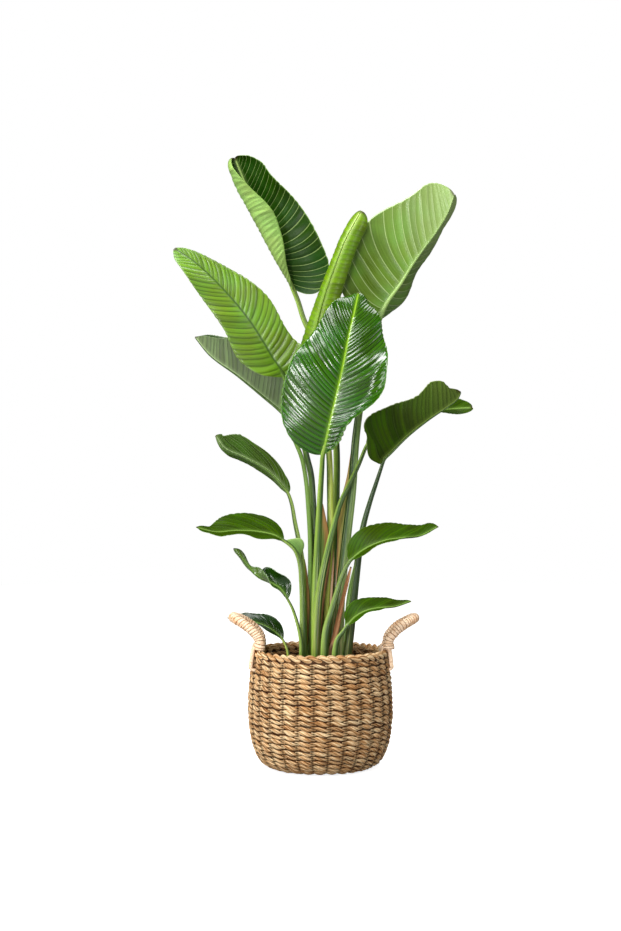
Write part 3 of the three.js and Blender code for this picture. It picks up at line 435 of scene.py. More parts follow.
# The blade: both halves side by side as one sheet, denser by the rib, with pleats between the veins.
# Each pleat has its own height, ends in a small round bulge of the edge and dies out at the rib and the
# tip. Along the rib, a pleat is always pleatPitch long in the UV map.
def addBlade(shape, leaf, line, start):
    form, fades = leafForm, leafForm["fades"]
    length = line.total - start
    rows = int(length / form["rowSpacing"]) + 1
    even = np.linspace(0, 1, rows)
    t = even - form["rowCrowding"] * np.sin(2 * np.pi * even) / (2 * np.pi)
    s = start + length * t
    rib, along = line.at(s), line.along(s)
    upper = squareTo(smoothValues(leaf["face"], t), along)

    # From 0 to 1 over the first endShare of the way, round as a quarter of a circle.
    def quarter(share):
        return np.sqrt(1 - (1 - np.clip(share / form["endShare"], 0, 1)) ** 2)

    widths = [np.maximum(smoothValues(h, t) * quarter(t) * quarter(1 - t), 2) for h in leaf["half"]]
    wide = np.clip(widths[0] / form["fullWidth"], 0, 1)
    near = np.array(form["nearRib"])
    perPleat = form["columnsPerPleat"] * max(leaf["rake"], 0.1)
    spacing = min(form["columnSpacing"], leaf["pitch"] / perPleat)
    halves = []
    for side, width in enumerate(widths):
        count = pleatCount(leaf, s - start, width, 1, wide)
        bite = 1 + np.sin(1.7 * np.floor(count) + 3 * side + leaf["seed"])
        bite = bite * np.clip(width / form["fullWidth"], 0.2, 1)
        width = width + form["edgeBite"] * (pleatShape(count) - 0.7) * bite
        outer = max(int(width.max() / spacing), 5)
        inner = np.minimum(near * ribRadius(leaf, t)[:, None], width[:, None] * 0.1 * near)
        last = inner[:, -1:]
        even = np.arange(1, outer + 1)[None, :] / outer
        reach = np.concatenate([np.zeros((rows, 1)), inner, last + (width[:, None] - last) * even], 1)
        across = reach / width[:, None]
        points = bladeHalf(leaf, side, t, across, width, rib, along, upper)
        halves.append([points, reach * (-1, 1)[side], across])
    middle, reach, across = (np.concatenate([left[:, :0:-1], right], 1) for left, right in zip(*halves))
    t = t[:, None]
    count = pleatCount(leaf, s[:, None] - start, reach, across, wide[:, None])
    number = np.floor(count).astype(int) + 20 + 140 * (reach < 0)
    heights, tones = np.random.default_rng(leaf["seed"]).uniform(0, 1, (2, 300))
    fade = (np.clip(np.abs(reach) / fades["rib"], 0, 1) * np.clip((1 - across) / fades["edge"], 0.5, 1)
            * np.clip((1 - t) / fades["tip"], 0.2, 1))
    relief = pleatShape(count) * (0.6 + 0.8 * heights[number]) - 0.6
    relief = form["pleatDepth"] * leaf["pleats"] * relief * fade
    ripple = form["ripple"]
    turn = count * leaf["pitch"] / ripple["length"] + ripple["turn"] * across + leaf["seed"]
    relief = relief + ripple["height"] * across * np.sin(turn)
    uvGrid = np.stack([count * form["pleatPitch"], reach], -1) * millimetre
    addSheet(shape, middle, form["thick"], relief, uvGrid, 0, edge=across, strip=tones[number], tip=t)


# The midrib's radius goes from ribShare of the stalk's to ribTip as t to the power ribPower.
def ribRadius(leaf, t):
    foot = leaf["thick"][2] * leafForm["ribShare"]
    return foot + (leafForm["ribTip"] - foot) * t ** leafForm["ribPower"]


# Stalk and midrib in one tube: round, with a channel down the side that the blade's upper side faces.
# In the blade it sinks below the upper side and thins to the tip.
def addStem(shape, leaf, line, start):
    upright = leafForm["footHeights"][2] - leafForm["footHeights"][0]
    third = upright + (start - upright) * leafForm["thirdShare"]
    s = np.concatenate([np.arange(0, start, leafForm["stemStep"]),
                        np.linspace(start, line.total - 1, int((line.total - start) / 4))])
    t = np.clip((s - start) / (line.total - start), 0, 1)
    foot, middle, top = leaf["thick"]
    ease = np.clip(t / leafForm["ribEase"], 0, 1)
    radius = np.where(t > 0, top + (ribRadius(leaf, t) - top) * ease,
                      np.interp(s, [upright, third, start], [foot, middle, top]))
    along = line.along(s)
    along[s < upright] = up
    face = squareTo(smoothValues(leaf["face"], t), along)
    centre = line.at(s) - face * (radius * leafForm["ribSink"] * ease)[:, None]
    angle = circle(leafForm["stemSides"])
    fromChannel = np.minimum(angle, 2 * np.pi - angle) / leafForm["grooveWidth"]
    radius = radius[:, None] * (1 - leafForm["groove"] * np.exp(-(fromChannel**2)))
    rings = ringsRound(centre, face, np.cross(along, face), radius, radius, angle)
    addTube(shape, rings, s, 1, tip=((s / start).clip(0, 1) + t)[:, None])


# A sheath's open edge: a thin strip that grows sideways out of the stalk between two heights. Point =
# line + side * width * v + out * lift, and the lift waves with t and falls away with v.
def addWing(shape, leaf, line):
    wing = leaf["wing"]
    top, low = line.lengthAtHeight(wing["top"]), line.lengthAtHeight(wing["low"])
    t, v = (np.linspace(0, 1, steps) for steps in leafForm["wingSteps"])
    t = t[:, None]
    s = top + (low - top) * t[:, 0]
    along = line.along(s)
    side = squareTo(np.broadcast_to(np.asarray(wing["side"], float), along.shape), along)
    reach = smoothValues(wing["width"], t[:, 0])[:, None] * v
    lift = 1.5 * np.sin(9 * t + leaf["seed"]) * v**2 - 0.05 * reach * v
    out = np.cross(side, along)
    middle = line.at(s)[:, None] + side[:, None] * reach[..., None] + out[:, None] * lift[..., None]
    uvGrid = np.stack([s[:, None] + 0 * reach, reach], -1) * millimetre
    root, rim = leafForm["wingThick"]
    addSheet(shape, middle, root + (rim - root) * v, 0 * reach, uvGrid, 2, edge=v, tip=t)


# One line runs up the stalk and on along the rib, and the leaf's blade, stem and sheath all follow it.
def makeLeaf(name, leaf, materials):
    foot = [[*leaf["foot"], z] for z in leafForm["footHeights"]]
    line = Route(foot + leaf["stalk"] + leaf["rib"])
    start = line.lengthAtPoint(len(foot) + len(leaf["stalk"]) - 1)
    shape = Shape()
    addBlade(shape, leaf, line, start)
    addStem(shape, leaf, line, start)
    if "wing" in leaf:
        addWing(shape, leaf, line)
    shape.piece(name, materials, leaf["slot"], [leaf["node"]])


# The weave's middle line stands depth inside the outline. Its two strands swing weaveOut and weaveUp
# about it. Rows drift, and waver by waves of (height, count), but less on rings smaller than evenBelow.
# Each spindle has a size and a shift of its own, drawn from normal spreads and kept between limits.
basketForm = dict(
    outline=[[106, 0], [130, 5], [149, 20], [163, 50], [171, 85], [175, 140], [172, 200], [167, 250],
             [163, 282]],
    foot=106, top=285, rimHeight=19, depth=6.0, rows=25, basePitch=11.9, columns=28, weaveOut=3.2,
    weaveUp=2.7, strandOut=3.1, strandUp=1.9, strandSwell=3.7, stepsPerColumn=7, strandSides=8,
    drift=dict(height=0.22, length=37, spread=0.1), lift=[[0.6, 3], [0.6, 7]], dent=0.3, evenBelow=60,
    bulge=[[0.25, 5], [0.2, 11]], bulk=dict(spread=0.15, least=0.72, most=1.2),
    shift=dict(spread=0.75, most=1.3), packing=1.6, seed=4)
# The border's strands wander by waves of (size, count, start).
rimForm = dict(
    ring=156.2, plies=2, turns=21, out=3.2, up=5.0, strandOut=4.4, strandUp=5.3, steps=22, sides=12,
    wander=[[0.3, 9, 0], [0.2, 4, 2]], bulk=dict(spread=0.06, least=0.86, most=1.06))
random = np.random.default_rng(basketForm["seed"])


# The middle line of the weave as (radius, height), read by distance: below 0 it runs level under the
# base, radius = foot + s, and above 0 it is the outline moved inwards by the strands' depth.
def weaveLine():
    foot, depth = basketForm["foot"], basketForm["depth"]
    outline = smoothValues(basketForm["outline"], np.linspace(0, 1, 600))
    lengths = np.append(0, np.cumsum(np.linalg.norm(np.diff(outline, axis=0), axis=1)))
    slope = unit(np.gradient(outline, axis=0))
    wall = outline + depth * np.stack([-slope[:, 1], slope[:, 0]], -1)
    line = np.concatenate([[[0, depth], [foot - 4, depth]], wall])
    return np.append([-foot, -4], lengths), line, outline


weaveLengths, weavePoints, basketOutline = weaveLine()


# The weave line's point at a distance, and its direction from a little behind to a little ahead.
def weaveAt(s):
    point, ahead, behind = (
        np.stack([np.interp(s + shift, weaveLengths, weavePoints[:, k]) for k in (0, 1)], -1)
        for shift in (0, 2, -2))
    return point, unit(ahead - behind)


# The outline's radius at a height.
def outerRadius(z):
    return np.interp(z, basketOutline[:, 1], basketOutline[:, 0])


# One row of twining: two strands that turn about each other once every two columns, so each column
# shows one slanted spindle. Strand centre = weave line + outwards * cos(phase) - upwards * sin(phase),
# and a strand is tallest where it lies outermost or innermost.
def addRow(shape, s, columns):
    form, bulkForm, shiftForm = basketForm, basketForm["bulk"], basketForm["shift"]
    point, slope = weaveAt(np.array([s]))
    (radius, height), (slopeOut, slopeUp) = point[0], slope[0]
    turns = columns // 2
    angle = circle(columns * form["stepsPerColumn"])
    radial = revolve([[1, 0]], angle)[0]
    outward = radial * slopeUp - up * slopeOut
    upward = radial * slopeOut + up * slopeUp
    small = min(1, radius / form["evenBelow"])
    drift = form["drift"]
    drift = drift["height"] * np.sin(s / drift["length"]) + random.normal(0, drift["spread"])
    starts = random.uniform(0, 2 * np.pi, (2, 2))
    lift, bulge = (sum(size * np.sin(count * angle + start) for (size, count), start in zip(waves, pair))
                   for waves, pair in zip((form["lift"], form["bulge"]), starts))
    lift, bulge = lift * small, (bulge - form["dent"]) * small
    around = circle(form["strandSides"])
    for ply in range(2):
        phase = turns * angle + np.pi * ply + drift
        number = np.round(phase / (2 * np.pi)).astype(int) % turns
        tones = random.beta(2.5, 2.5, turns)
        bulk = random.normal(1, bulkForm["spread"], turns).clip(bulkForm["least"], bulkForm["most"])
        most = shiftForm["most"]
        shifts = random.normal(0, shiftForm["spread"], turns).clip(-most, most) * small
        facing = np.abs(np.cos(phase))
        size = 1 + (bulk[number] - 1) * facing
        rise = lift + shifts[number] * facing - form["weaveUp"] * np.sin(phase)
        out = form["weaveOut"] * np.cos(phase) + bulge
        centre = radial * radius + up * height + outward * out[:, None] + upward * rise[:, None]
        thick = form["strandOut"] * np.minimum(size, 1)
        tall = (form["strandUp"] + form["strandSwell"] * facing**1.1 * small) * size
        rings = ringsRound(centre, outward, upward, thick[:, None], tall[:, None], around)
        # Painted shade: inner darkens where the strands cross and along their tops and bottoms, where
        # rows meet.
        inner = 0.5 * (1 - facing[:, None]) ** 2 + 0.38 * np.sin(around) ** 4
        addLoop(shape, rings, 2 * np.pi * radius, s / 100, tone=tones[number][:, None], inner=inner)


# Rows stand evenly up the wall, and basePitch apart under the base, where smaller rings have fewer
# columns.
def makeWeave(material):
    form = basketForm
    end = np.interp(form["top"] - form["rimHeight"], basketOutline[:, 1], weaveLengths[2:])
    wall, base = Shape(), Shape()
    for row in range(form["rows"]):
        addRow(wall, (row + 0.5) * end / form["rows"], form["columns"])
    for s in np.arange(-6, -form["foot"] + 3, -form["basePitch"]):
        radius = form["foot"] + s
        addRow(base, s, form["columns"] if radius > 75 else 14 if radius > 30 else 6)
    wall.piece("basketWall", [material], "seagrass", ["basket"])
    base.piece("basketBase", [material], "seagrass")


# The stakes that the rows twine round, drawn as one thin turned sheet on the weave's middle line
# that fills the wall behind the strands, closed over itself, with a low ridge at each stake. Its inner
# value lays Deep over it almost fully: a dark sheet of painted shade that shows in the gaps between
# strands.
def makeStakeShadeSheet(material):
    point, slope = weaveAt(np.linspace(14 - basketForm["foot"], weaveLengths[-1] - 4, 60))
    columns = basketForm["columns"]
    angle = circle(4 * columns)
    half = basketForm["packing"] * (0.7 + 0.3 * np.cos(columns * angle))
    off = half[:, None] * np.stack([slope[:, 1], -slope[:, 0]], -1)[:, None]
    section = np.concatenate([point[:, None] + off, (point[:, None] - off)[::-1]])
    shape = Shape()
    addLoop(shape, revolve(section, angle), 2 * len(section), tone=0.1, inner=0.7)
    shape.piece("basketStakeShadeSheet", [material], "seagrass")


# The border: thick strands laid up as a rope round a ring that closes the top of the wall.
def makeRim(material):
    form, bulkForm = rimForm, rimForm["bulk"]
    angle = circle(form["turns"] * form["steps"])
    radial = revolve([[1, 0]], angle)[0]
    height = basketForm["top"] - form["up"] - form["strandUp"] + 0.5 * np.sin(4 * angle + 1) - 0.3
    shape = Shape()
    for ply in range(form["plies"]):
        phase = form["turns"] * angle + 2 * np.pi * ply / form["plies"]
        for size, count, start in form["wander"]:
            phase = phase + size * np.sin(count * angle + start)
        tones = random.beta(2.5, 2.5, form["turns"])
        bulk = random.normal(1, bulkForm["spread"], form["turns"])
        bulk = bulk.clip(bulkForm["least"], bulkForm["most"])
        number = np.round(phase / (2 * np.pi)).astype(int) % form["turns"]
        size = (1 + (bulk[number] - 1) * (0.5 + 0.5 * np.cos(phase)))[:, None]
        centre = (radial * (form["ring"] + form["out"] * np.cos(phase))[:, None]
                  + up * (height - form["up"] * np.sin(phase))[:, None])
        along = unit(np.roll(centre, -1, 0) - np.roll(centre, 1, 0))
        first = squareTo(radial, along)
        rings = ringsRound(centre, first, np.cross(along, first), form["strandOut"] * size,
                           form["strandUp"] * size, circle(form["sides"]))
        rings[..., 2] = np.minimum(rings[..., 2], basketForm["top"])
        addLoop(shape, rings, 2 * np.pi * form["ring"], ply, tone=tones[number][:, None], inner=0.1)
    shape.piece("basketRim", [material], "seagrass")


handleForm = dict(
    rope=10.7, groove=2.4, pitch=7.0, sides=28, stepsPerWrap=10, knob=dict(height=9, swell=1.6),
    path=[[0, 1, 0], [0, 1, 0.3], [0.25, 0.96, 0.6], [0.62, 0.78, 0.84], [0.94, 0.38, 0.98]],
    strap=dict(width=12, thick=9, low=236, height=5, slack=0.8, back=3), gap=0.35, wall=10)
handles = {
    "leftHandle": dict(node="basket_handle_left", side=-1, legRadius=153, legHalf=48, reach=209,
                       top=358),
    "rightHandle": dict(node="basket_handle_right", side=1, legRadius=167, legHalf=36, reach=226,
                        top=356),
}


# The wrapped rope: a tube whose radius swells over each wrap of flat fibre and drops to a groove
# between wraps. The wraps climb as a helix, so their count at a point is distance / pitch + the share
# of the way round, and a slow wander makes them uneven.
def addRope(shape, form, leg):
    mirrored = [[x, -y, z] for x, y, z in leg[::-1]]
    line = Route(leg + [[form["side"] * form["reach"], 0, form["top"]]] + mirrored)
    wraps = round(line.total / handleForm["pitch"])
    s = np.linspace(0, line.total, wraps * handleForm["stepsPerWrap"])
    along = line.along(np.clip(s, 3, line.total - 3))
    first = squareTo(np.broadcast_to([form["side"], 0.1, 0.3], along.shape), along)
    angle = circle(handleForm["sides"])
    wander = 0.3 * np.sin(s / 17 + form["top"]) + 0.2 * np.sin(s / 6.1 + 1)
    tilt = 0.16 * np.sin(angle + 1)
    phase = (s / line.total * wraps + wander)[:, None] + angle / (2 * np.pi) + tilt + 2
    number = np.floor(phase).astype(int)
    random = np.random.default_rng(form["top"])
    bulk, tones = random.normal(0, 0.3, wraps + 8), random.uniform(0.3, 0.7, wraps + 8)
    arch = np.clip(1 - np.abs(2 * (phase - number) - 1) ** 3.5, 0, 1) ** 0.6
    fromEnd = np.minimum(s, line.total - s)[:, None]
    knob = handleForm["knob"]
    swell = knob["swell"] * np.exp(-((fromEnd - knob["height"] / 2) / knob["height"]) ** 4)
    radius = handleForm["rope"] + handleForm["groove"] * (arch - 0.6) + bulk[number] * arch + swell
    rings = ringsRound(line.at(s), first, np.cross(along, first), radius, radius, angle)
    # inner darkens the grooves between the wraps towards Deep: painted shade.
    addTube(shape, rings, s, 0, tone=tones[number], inner=0.9 * (1 - arch) ** 0.7)


# A strap: a band with round edges, carried along a closed loop down the outside of the wall, through
# the slot, up the inside and over the border. Its loop is drawn as (radius, height) and follows the
# wall at y: x = square root of radius^2 - y^2.
def addStrap(shape, form, y):
    strap, gap, top = handleForm["strap"], handleForm["gap"], basketForm["top"]
    half, backHalf = (strap["thick"] + strap["slack"]) / 2, strap["back"]
    under, over = outerRadius(strap["low"]), outerRadius(282)
    out, back = gap + half, handleForm["wall"] + gap + backHalf
    low, high = strap["low"] + strap["height"] / 2, top + gap + strap["thick"] / 2
    loop = [[under + out - 1, low + 4], [over + out, top - 5], [over + out - 3.5, high - 1],
            [over - back + 3.5, high - 1], [over - back, top - 5], [under - back + 1, low + 4],
            [under - back + 4, low], [under + out - 4, low]]
    route = Route([[r, 0, z] for r, z in [*loop, loop[0]]], 10)
    dense = route.line[:-1]
    slope = unit(np.roll(dense, -1, 0) - np.roll(dense, 1, 0))
    outward, across = np.cross(slope, [0.0, 1.0, 0.0]), np.broadcast_to([0.0, 1.0, 0.0], dense.shape)
    thickness = np.interp(dense[:, 0], [under - back + 2, under + out - 8], [backHalf, half])
    thickness *= np.where(dense[:, 2] < strap["low"] + 6, 0.8, 1)
    width = strap["width"] / 2 * (0.9 + 0.1 * np.clip((dense[:, 2] - strap["low"]) / 12, 0, 1))
    rings = ringsRound(dense, outward, across, thickness[:, None], width[:, None], circle(16), 0.75)
    rings[..., 0] = form["side"] * np.sqrt(rings[..., 0] ** 2 - y**2)
    rings[..., 1] += y
    addLoop(shape, rings, route.total, flip=form["side"] < 0, tone=0.5, inner=0.1)


# A handle stands on the border, tied to the wall by a strap at each leg. Its path is given as shares
# of the way out, of the half width between its legs, and of the way up.
def makeHandle(name, form, material):
    foot = basketForm["top"] + handleForm["gap"]
    legX = math.sqrt(form["legRadius"] ** 2 - form["legHalf"] ** 2)
    leg = [[form["side"] * (legX + (form["reach"] - legX) * out), across * form["legHalf"],
            foot + (form["top"] - foot) * rise] for out, across, rise in handleForm["path"]]
    shape = Shape()
    addRope(shape, form, leg)
    for y in (form["legHalf"], -form["legHalf"]):
        addStrap(shape, form, y)
    shape.piece(name, [material], "handle_rope", [form["node"]])


potForm = dict(
    base=10.35, foot=110, mouth=145, top=232, wall=2.5, lip=4, lipHeight=8, sides=96, drains=6,
    drainRadius=7, drainRing=77)
soilForm = dict(
    base=13.2, edge=214, middle=221, roughness=2.2, rings=60, sides=150, seed=9, bark=160,
    lumps=[[0.05, 1.0], [0.13, 0.6], [0.31, 0.4], [0.7, 0.22]], leastChip=[3, 2, 1], mostChip=[8, 5, 2])


# The nursery pot: its profile turned about Z, down the outside from the floor to the rolled lip and
# back inside, with drain holes cut through its floor.
def makePot(material):
    form = potForm
    base, foot, mouth, top = form["base"], form["foot"], form["mouth"], form["top"]
    wall, lip = form["wall"], form["lip"]
    under = top - form["lipHeight"]
    outer = foot + (mouth - foot) * (under - base) / (top - base)
    profile = [[foot - 16, base + 1.5], [foot - 13, base], [foot - 2, base], [foot, base + 2],
               [outer, under], [outer + lip - 1, under], [outer + lip, under + 1],
               [mouth + lip, top - 1], [mouth + lip - 1, top], [mouth - wall + 1, top],
               [mouth - wall, top - 1], [foot - wall, base + wall + 1.5]]
    shape, holes = Shape(), Shape()
    addTube(shape, revolve(profile, circle(form["sides"])), np.zeros(len(profile)))
    pot = shape.piece("nurseryPot", [material], "pot_plastic", ["nursery_pot"])
    hole = revolve([[form["drainRadius"], base - 5], [form["drainRadius"], base + 10]], circle(24))
    for angle in circle(form["drains"]):
        place = [form["drainRing"] * math.cos(angle), form["drainRing"] * math.sin(angle), 0]
        addTube(holes, hole + place, np.array([0.0, 15.0]))
    cutter = holes.piece("drainHoles", [material], "pot_plastic")
    cut = pot.modifiers.new("drains", "BOOLEAN")
    cut.operation = "DIFFERENCE"
    cut.solver = "EXACT"
    cut.object = cutter
    graph = bpy.context.evaluated_depsgraph_get()
    pot.data = bpy.data.meshes.new_from_object(pot.evaluated_get(graph))
    pot.modifiers.clear()
    pot.data.set_sharp_from_angle(angle=math.radians(40))
    bpy.data.objects.remove(cutter)


# Soil: height = middle - (middle - edge) * share^2 plus lumps of several sizes, closed down to the
# pot's floor, with chips of bark lying on it.
def makeSoil(material, barkMaterial):
    form = soilForm
    random = np.random.default_rng(form["seed"])
    inner = potForm["mouth"] - potForm["wall"] - 2.6
    low = potForm["foot"] - potForm["wall"] - 0.7
    angle = circle(form["sides"])
    fall = form["middle"] - form["edge"]
    share = np.linspace(1, 0.004, form["rings"])
    bowl = revolve(np.stack([inner * share, form["middle"] - fall * share**2], -1), angle)
    for scale, size in form["lumps"]:
        for turn, start in random.uniform(0, 2 * np.pi, (4, 2)):
            place = bowl[..., 0] * math.cos(turn) + bowl[..., 1] * math.sin(turn)
            bowl[..., 2] += form["roughness"] * size * 0.35 * np.sin(scale * place + start)
    bowl[..., 2] = np.minimum(bowl[..., 2], potForm["top"] - 2)
    shape, chips = Shape(), Shape()
    rings = np.concatenate([revolve([[low, form["base"]]], angle), bowl])
    addTube(shape, rings, np.zeros(len(rings)))
    shape.piece("soilTop", [material], "soil", ["soil"])
    corners = np.array([[1, 0, 0], [0, 1, 0], [-1, 0, 0], [0, -1, 0], [0, 0, 1], [0, 0, -1]], float)
    faces = [[k, (k + 1) % 4, 4] for k in range(4)] + [[(k + 1) % 4, k, 5] for k in range(4)]
    for _ in range(form["bark"]):
        radius = inner * 0.95 * math.sqrt(random.uniform())
        turn, spin = random.uniform(0, 2 * np.pi, 2)
        size = random.uniform(form["leastChip"], form["mostChip"])
        x, y, z = (corners * size * random.uniform(0.75, 1.2, (6, 1))).T
        cosine, sine = math.cos(spin), math.sin(spin)
        height = form["middle"] - fall * (radius / inner) ** 2 + 1.5
        body = np.stack([x * cosine - y * sine, x * sine + y * cosine, z], -1)
        chips.add(body + [radius * math.cos(turn), radius * math.sin(turn), height], [np.array(faces)])
    bark = chips.piece("soilBark", [barkMaterial], "soil")
    bark.data.shade_flat()


# An output of a node. The signs + - * and abs make Math nodes that join it to numbers and to others.
class Value:
    def __init__(self, socket):
        self.socket = socket
        self.tree = socket.id_data

    def math(self, operation, other=0.0):
        return addNode(self.tree, "Math", {0: self, 1: other}, operation=operation)[0]

    def __add__(self, other):
        return self.math("ADD", other)

    def __sub__(self, other):
        return self.math("SUBTRACT", other)

    def __mul__(self, other):
        return self.math("MULTIPLY", other)

    def __abs__(self):
        return self.math("ABSOLUTE")


# Fills the inputs of a node, each with a number, a colour or a Value, and returns its outputs by name
# and by number.
def feed(node, inputs):
    for key, value in inputs.items():
        if isinstance(value, Value):
            value.tree.links.new(value.socket, node.inputs[key])
        else:
            node.inputs[key].default_value = value
    return {key: Value(socket) for i, socket in enumerate(node.outputs) for key in (socket.name, i)}


# One shader node, with its settings and its inputs.
def addNode(tree, kind, inputs={}, **settings):
    node = tree.nodes.new("ShaderNode" + kind)
    for key, value in settings.items():
        setattr(node, key, value)
    return feed(node, inputs)


# start where value is at low, end where it is at high, eased between them.
def ease(value, low, high, start=0.0, end=1.0):
    inputs = {"Value": value, "From Min": low, "From Max": high, "To Min": start, "To Max": end}
    return addNode(value.tree, "MapRange", inputs, interpolation_type="SMOOTHSTEP")[0]


# a + (b - a) * share.
def blend(share, a, b):
    return addNode(share.tree, "Mix", {0: share, 6: a, 7: b}, data_type="RGBA")[2]


# Colours laid over a body one after another, each by its own share.
def layered(body, *layers):
    for share, over in layers:
        body = blend(share, body, over)
    return body


# A body whose brightness is multiplied by value. A hue of 0.5 leaves it as it is.
def tint(body, value, hue=0.5):
    inputs = {"Hue": hue, "Saturation": 1.0, "Value": value, "Color": body}
    return addNode(value.tree, "HueSaturation", inputs)[0]


# A noise texture's value at a place.
def noise(place, scale=1.0, detail=2.0, roughness=0.5):
    inputs = {"Vector": place, "Scale": scale, "Detail": detail, "Roughness": roughness}
    return addNode(place.tree, "TexNoise", inputs)[0]


# Three numbers as one place.
def vectorOf(x, y, z=0.0):
    return addNode(x.tree, "CombineXYZ", {0: x, 1: y, 2: z})[0]


# A value that the mesh keeps for each of its points.
def pointValue(tree, name):
    return addNode(tree, "Attribute", attribute_name=name)["Fac"]


# The place on the object, and the two numbers of the UV map.
def places(tree):
    place = addNode(tree, "TexCoord")
    parts = addNode(tree, "SeparateXYZ", {0: place["UV"]})
    return place["Object"], parts[0], parts[1]


# A node group whose inputs have these names; make returns its outputs by name, of which only Colour is
# a colour.
def nodeGroup(name, colours, numbers, make):
    group = bpy.data.node_groups.new(name, "ShaderNodeTree")

    def addSockets(side, labels, kind):
        for label in labels:
            group.interface.new_socket(label, in_out=side, socket_type="NodeSocket" + kind)

    addSockets("INPUT", colours, "Color")
    addSockets("INPUT", numbers, "Float")
    made = make(group, feed(group.nodes.new("NodeGroupInput"), {}))
    addSockets("OUTPUT", ["Colour"], "Color")
    addSockets("OUTPUT", [label for label in made if label != "Colour"], "Float")
    feed(group.nodes.new("NodeGroupOutput"), made)
    return group


# A material with a Principled shader: make returns what goes into its sockets, and "bump" is a height
# with its depth in metres.
def newMaterial(name, make):
    material = bpy.data.materials.new(name)
    material.use_nodes = True
    tree = material.node_tree
    tree.nodes.clear()
    made = make(tree)
    height, depth = made.pop("bump")
    made["Normal"] = addNode(tree, "Bump", {"Height": height, "Distance": depth})[0]
    addNode(tree, "OutputMaterial", {0: addNode(tree, "BsdfPrincipled", made)[0]})
    return material


# Screen values from 0 to 255 as the linear colour that a socket takes.
def colour(red, green, blue):
    screen = np.array([red, green, blue]) / 255
    linear = np.where(screen > 0.04045, ((screen + 0.055) / 1.055) ** 2.4, screen / 12.92)
    return (*map(float, linear), 1.0)


# Blade colour. Upper and under side differ; each strip between veins and each large patch has its own
# tone, fine lines run along the veins, the valleys between pleats take the rib's colour, vein lines that
# where they are paler are partly painted highlight, the midrib is pale, the flanks get painted shade,
# the blade pales towards its tip, partly its own paler colour and partly painted sheen, a thin margin
# follows the edge and the tip is dry and brown.
def leafPatternNodes(tree, given):
    object3, along, reach = places(tree)
    edge, upper, strip, tip = (pointValue(tree, name) for name in ("edge", "upper", "strip", "tip"))
    off = abs(reach)
    fine = noise(vectorOf(along * 700.0, reach * 7.0))
    patch = noise(object3, 14.0, 3.0)
    tone = strip * 0.3 + patch * 0.65 + fine * 0.5
    body = blend(upper, given["Under"], given["Upper"])
    body = tint(body, (tone - 0.725) * given["Contrast"] + 1.0, ease(patch, 0.3, 0.7, 0.488, 0.512))
    swell = abs((along * (math.pi / (leafForm["pleatPitch"] * millimetre))).math("SINE"))
    valley, flank = (ease(swell, top, 0.02) * ease(off, 0.002, 0.01) for top in (0.22, 0.7))
    # The paling towards the tip is partly painted sheen, pale valley lines are partly painted highlight,
    # and the flanks get painted shade.
    body = layered(body, (ease(tip, 0.25, 1.0) * given["Bleach"], given["Rib"]),
                   (valley * given["Lines"], given["Rib"]),
                   (flank * given["Shade"], (0.004, 0.012, 0, 1)),
                   (ease(off, 0.012, 0.002, 0.0, 0.2), given["Rib"]),
                   (ease(off, 0.0032, 0.0022), given["Rib"]),
                   (ease(edge, 0.978, 0.992, 0.0, 0.8), given["Margin"]),
                   (ease(tip, 0.97, 0.995, 0.0, 0.85), (0.03, 0.015, 0.004, 1)))
    height = fine + noise(object3, 260.0) * 0.5
    return {"Colour": body, "Dullness": patch * 0.5 + fine * 0.5, "Height": height}


# Stalk colour: a lit side turns into a shaded one round the stalk, painted light and shade, broken by
# long streaks, with fine dark and pale lines along it and a blush towards the foot. In the blade it
# takes the rib's colour, which darkens towards the tip.
def stalkPatternNodes(tree, given):
    _, along, around = places(tree)
    cosine, sine = ((around * (2 * math.pi)).math(kind) for kind in ("COSINE", "SINE"))

    # Noise at (cosine * across, sine * across, along * lengthwise).
    def streaks(across, lengthwise):
        return noise(vectorOf(cosine * across, sine * across, along * lengthwise))

    broad, middle, fine = streaks(1.5, 4.0), streaks(5.0, 5.0), streaks(14.0, 4.0)
    tip = pointValue(tree, "tip")
    # Light on one side and Dark on the other, turned by the sine round the stalk: painted light and
    # shade.
    body = layered(given["Dark"], (ease(sine * -0.5 + broad * 1.4, 0.35, 1.05), given["Light"]),
                   (ease(tip, 0.5, 0.1, 0.0, 0.7) * ease(middle, 0.42, 0.62), given["Foot"]))
    body = layered(tint(body, ease(fine, 0.34, 0.64, 0.62, 1.3)),
                   (ease(middle, 0.56, 0.66, 0.0, 0.5), given["Streak"]),
                   (ease(tip, 0.97, 1.1), given["Rib"]), (ease(tip, 1.1, 2.0, 0.0, 0.6), given["Dark"]))
    return {"Colour": body, "Dullness": broad, "Height": fine}


# Sheath colour: green at the stalk, dry and brown towards the open edge, with streaks along it.
def sheathPatternNodes(tree, given):
    _, along, reach = places(tree)
    streak = noise(vectorOf(reach * 900.0, along * 14.0), 1.0, 3.0)
    blotch = noise(vectorOf(reach * 50.0, along * 18.0))
    place = pointValue(tree, "edge") + (blotch - 0.5) * 0.5
    body = layered(given["Green"], (ease(place, 0.3, 0.75), given["Dry"]),
                   (ease(place, 0.82, 1.0), given["Rim"]))
    return {"Colour": tint(body, ease(streak, 0.3, 0.7, 0.75, 1.2)), "Height": streak}


